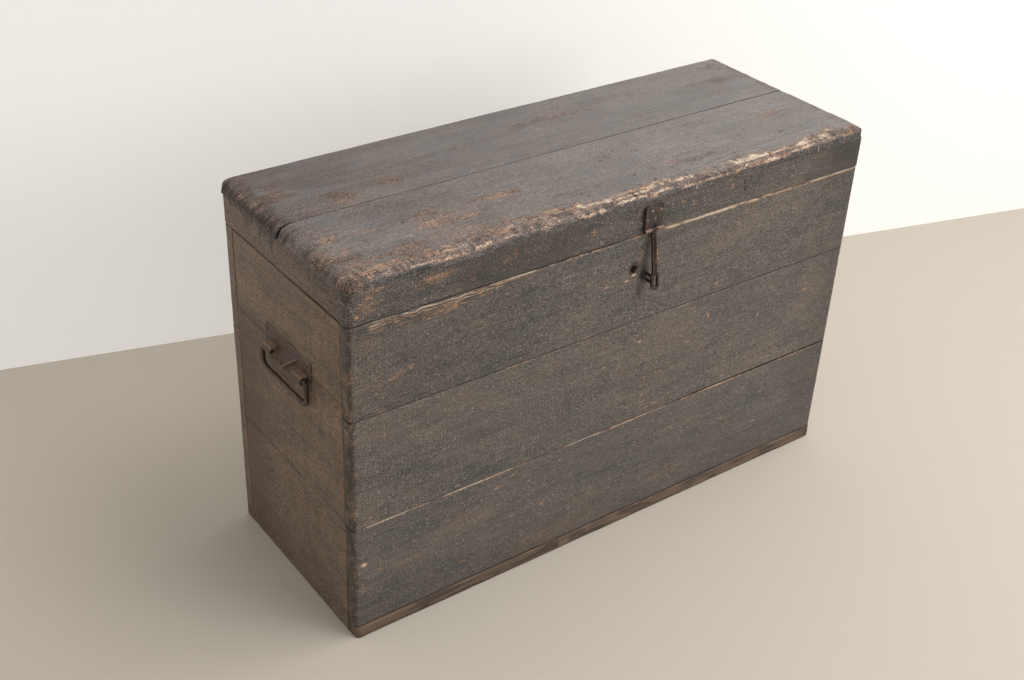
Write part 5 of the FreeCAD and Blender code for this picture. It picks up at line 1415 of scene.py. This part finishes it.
def stage_material(name, colour, roughness, glow=None):
    """A plain matt sheet; with a glow it looks brighter to the camera and lets light in from behind."""
    material, wiring, shader = new_material(name)
    wiring.feed(shader.inputs["Base Color"], colour)
    shader.inputs["Roughness"].default_value = roughness
    if glow:
        rays = wiring.node("ShaderNodeLightPath").outputs
        seen = wiring.maths("MAXIMUM", rays["Is Camera Ray"],
                            wiring.maths("MAXIMUM", rays["Is Glossy Ray"], rays["Is Transmission Ray"]))
        wiring.feed(shader.inputs["Emission Color"], wiring.mix(seen, (0.0, 0.0, 0.0), glow))
        shader.inputs["Emission Strength"].default_value = 1.0
        clear = wiring.node("ShaderNodeBsdfTransparent")
        mixed = material.node_tree.nodes.new("ShaderNodeMixShader")
        wiring.feed(mixed.inputs[0], wiring.node("ShaderNodeNewGeometry").outputs["Backfacing"])
        wiring.feed(mixed.inputs[1], shader.outputs[0])
        wiring.feed(mixed.inputs[2], clear.outputs[0])
        output = next(node for node in material.node_tree.nodes if node.type == "OUTPUT_MATERIAL")
        wiring.feed(output.inputs[0], mixed.outputs[0])
    return material


floor_finish = stage_material("pale_floor", srgb(196, 187, 174), 0.75)
wall_finish = stage_material("pale_wall", srgb(236, 234, 231), 0.9, glow=(0.24, 0.235, 0.225))
flat_sheet("floor", [(-9, -9, 0), (9, -9, 0), (9, 9, 0), (-9, 9, 0)], floor_finish)

WALL_START = (-0.679, 0.813)
WALL_RUN = (0.9665, -0.2566)
wall_ends = [(WALL_START[0] + WALL_RUN[0] * reach, WALL_START[1] + WALL_RUN[1] * reach)
             for reach in (-6.0, 9.0)]
flat_sheet("wall", [(*wall_ends[0], 0), (*wall_ends[1], 0), (*wall_ends[1], 3.5), (*wall_ends[0], 3.5)],
           wall_finish)


def softbox(name, place, target, size, power):
    """A large soft lamp at a place, aimed at a target."""
    lamp = bpy.data.lights.new(name, "AREA")
    lamp.shape = "RECTANGLE"
    lamp.size, lamp.size_y = size
    lamp.energy = power
    holder = bpy.data.objects.new(name, lamp)
    bpy.context.scene.collection.objects.link(holder)
    look = np.array(target, float) - np.array(place, float)
    look /= np.linalg.norm(look)
    right = np.cross(look, (0.0, 0.0, 1.0))
    right /= np.linalg.norm(right)
    up = np.cross(right, look)
    turn = Matrix((right, up, -look)).transposed().to_4x4()
    turn.translation = place
    holder.matrix_world = turn
    return holder


softbox("ceiling_light", (1.3, -1.0, 3.2), (0.1, 0.0, 0.3), (2.6, 2.0), 67.0)
softbox("front_light", (1.6, -3.3, 1.9), (0.2, 0.0, 0.3), (2.6, 1.8), 43.0)

world = bpy.data.worlds.new("studio")
world.use_nodes = True
bpy.context.scene.world = world
background = next(node for node in world.node_tree.nodes if node.type == "BACKGROUND")
background.inputs[0].default_value = (1.0, 0.995, 0.985, 1.0)
background.inputs[1].default_value = 0.55

camera_data = bpy.data.cameras.new("camera")
camera_data.lens = 48.86
camera_data.sensor_width = 36.0
camera = bpy.data.objects.new("camera", camera_data)
bpy.context.scene.collection.objects.link(camera)
CAMERA_PLACE = (-1.2248, -1.5093, 1.4886)
CAMERA_RIGHT = np.array((0.81068, -0.58421, 0.03862))
CAMERA_LOOK = np.array((0.51163, 0.67481, -0.53185))
right = CAMERA_RIGHT / np.linalg.norm(CAMERA_RIGHT)
up = np.cross(right, CAMERA_LOOK)
up /= np.linalg.norm(up)
back = np.cross(right, up)
placing = Matrix((right, up, back)).transposed().to_4x4()
placing.translation = CAMERA_PLACE
camera.matrix_world = placing
bpy.context.scene.camera = camera
bpy.context.scene.view_settings.view_transform = "Standard"
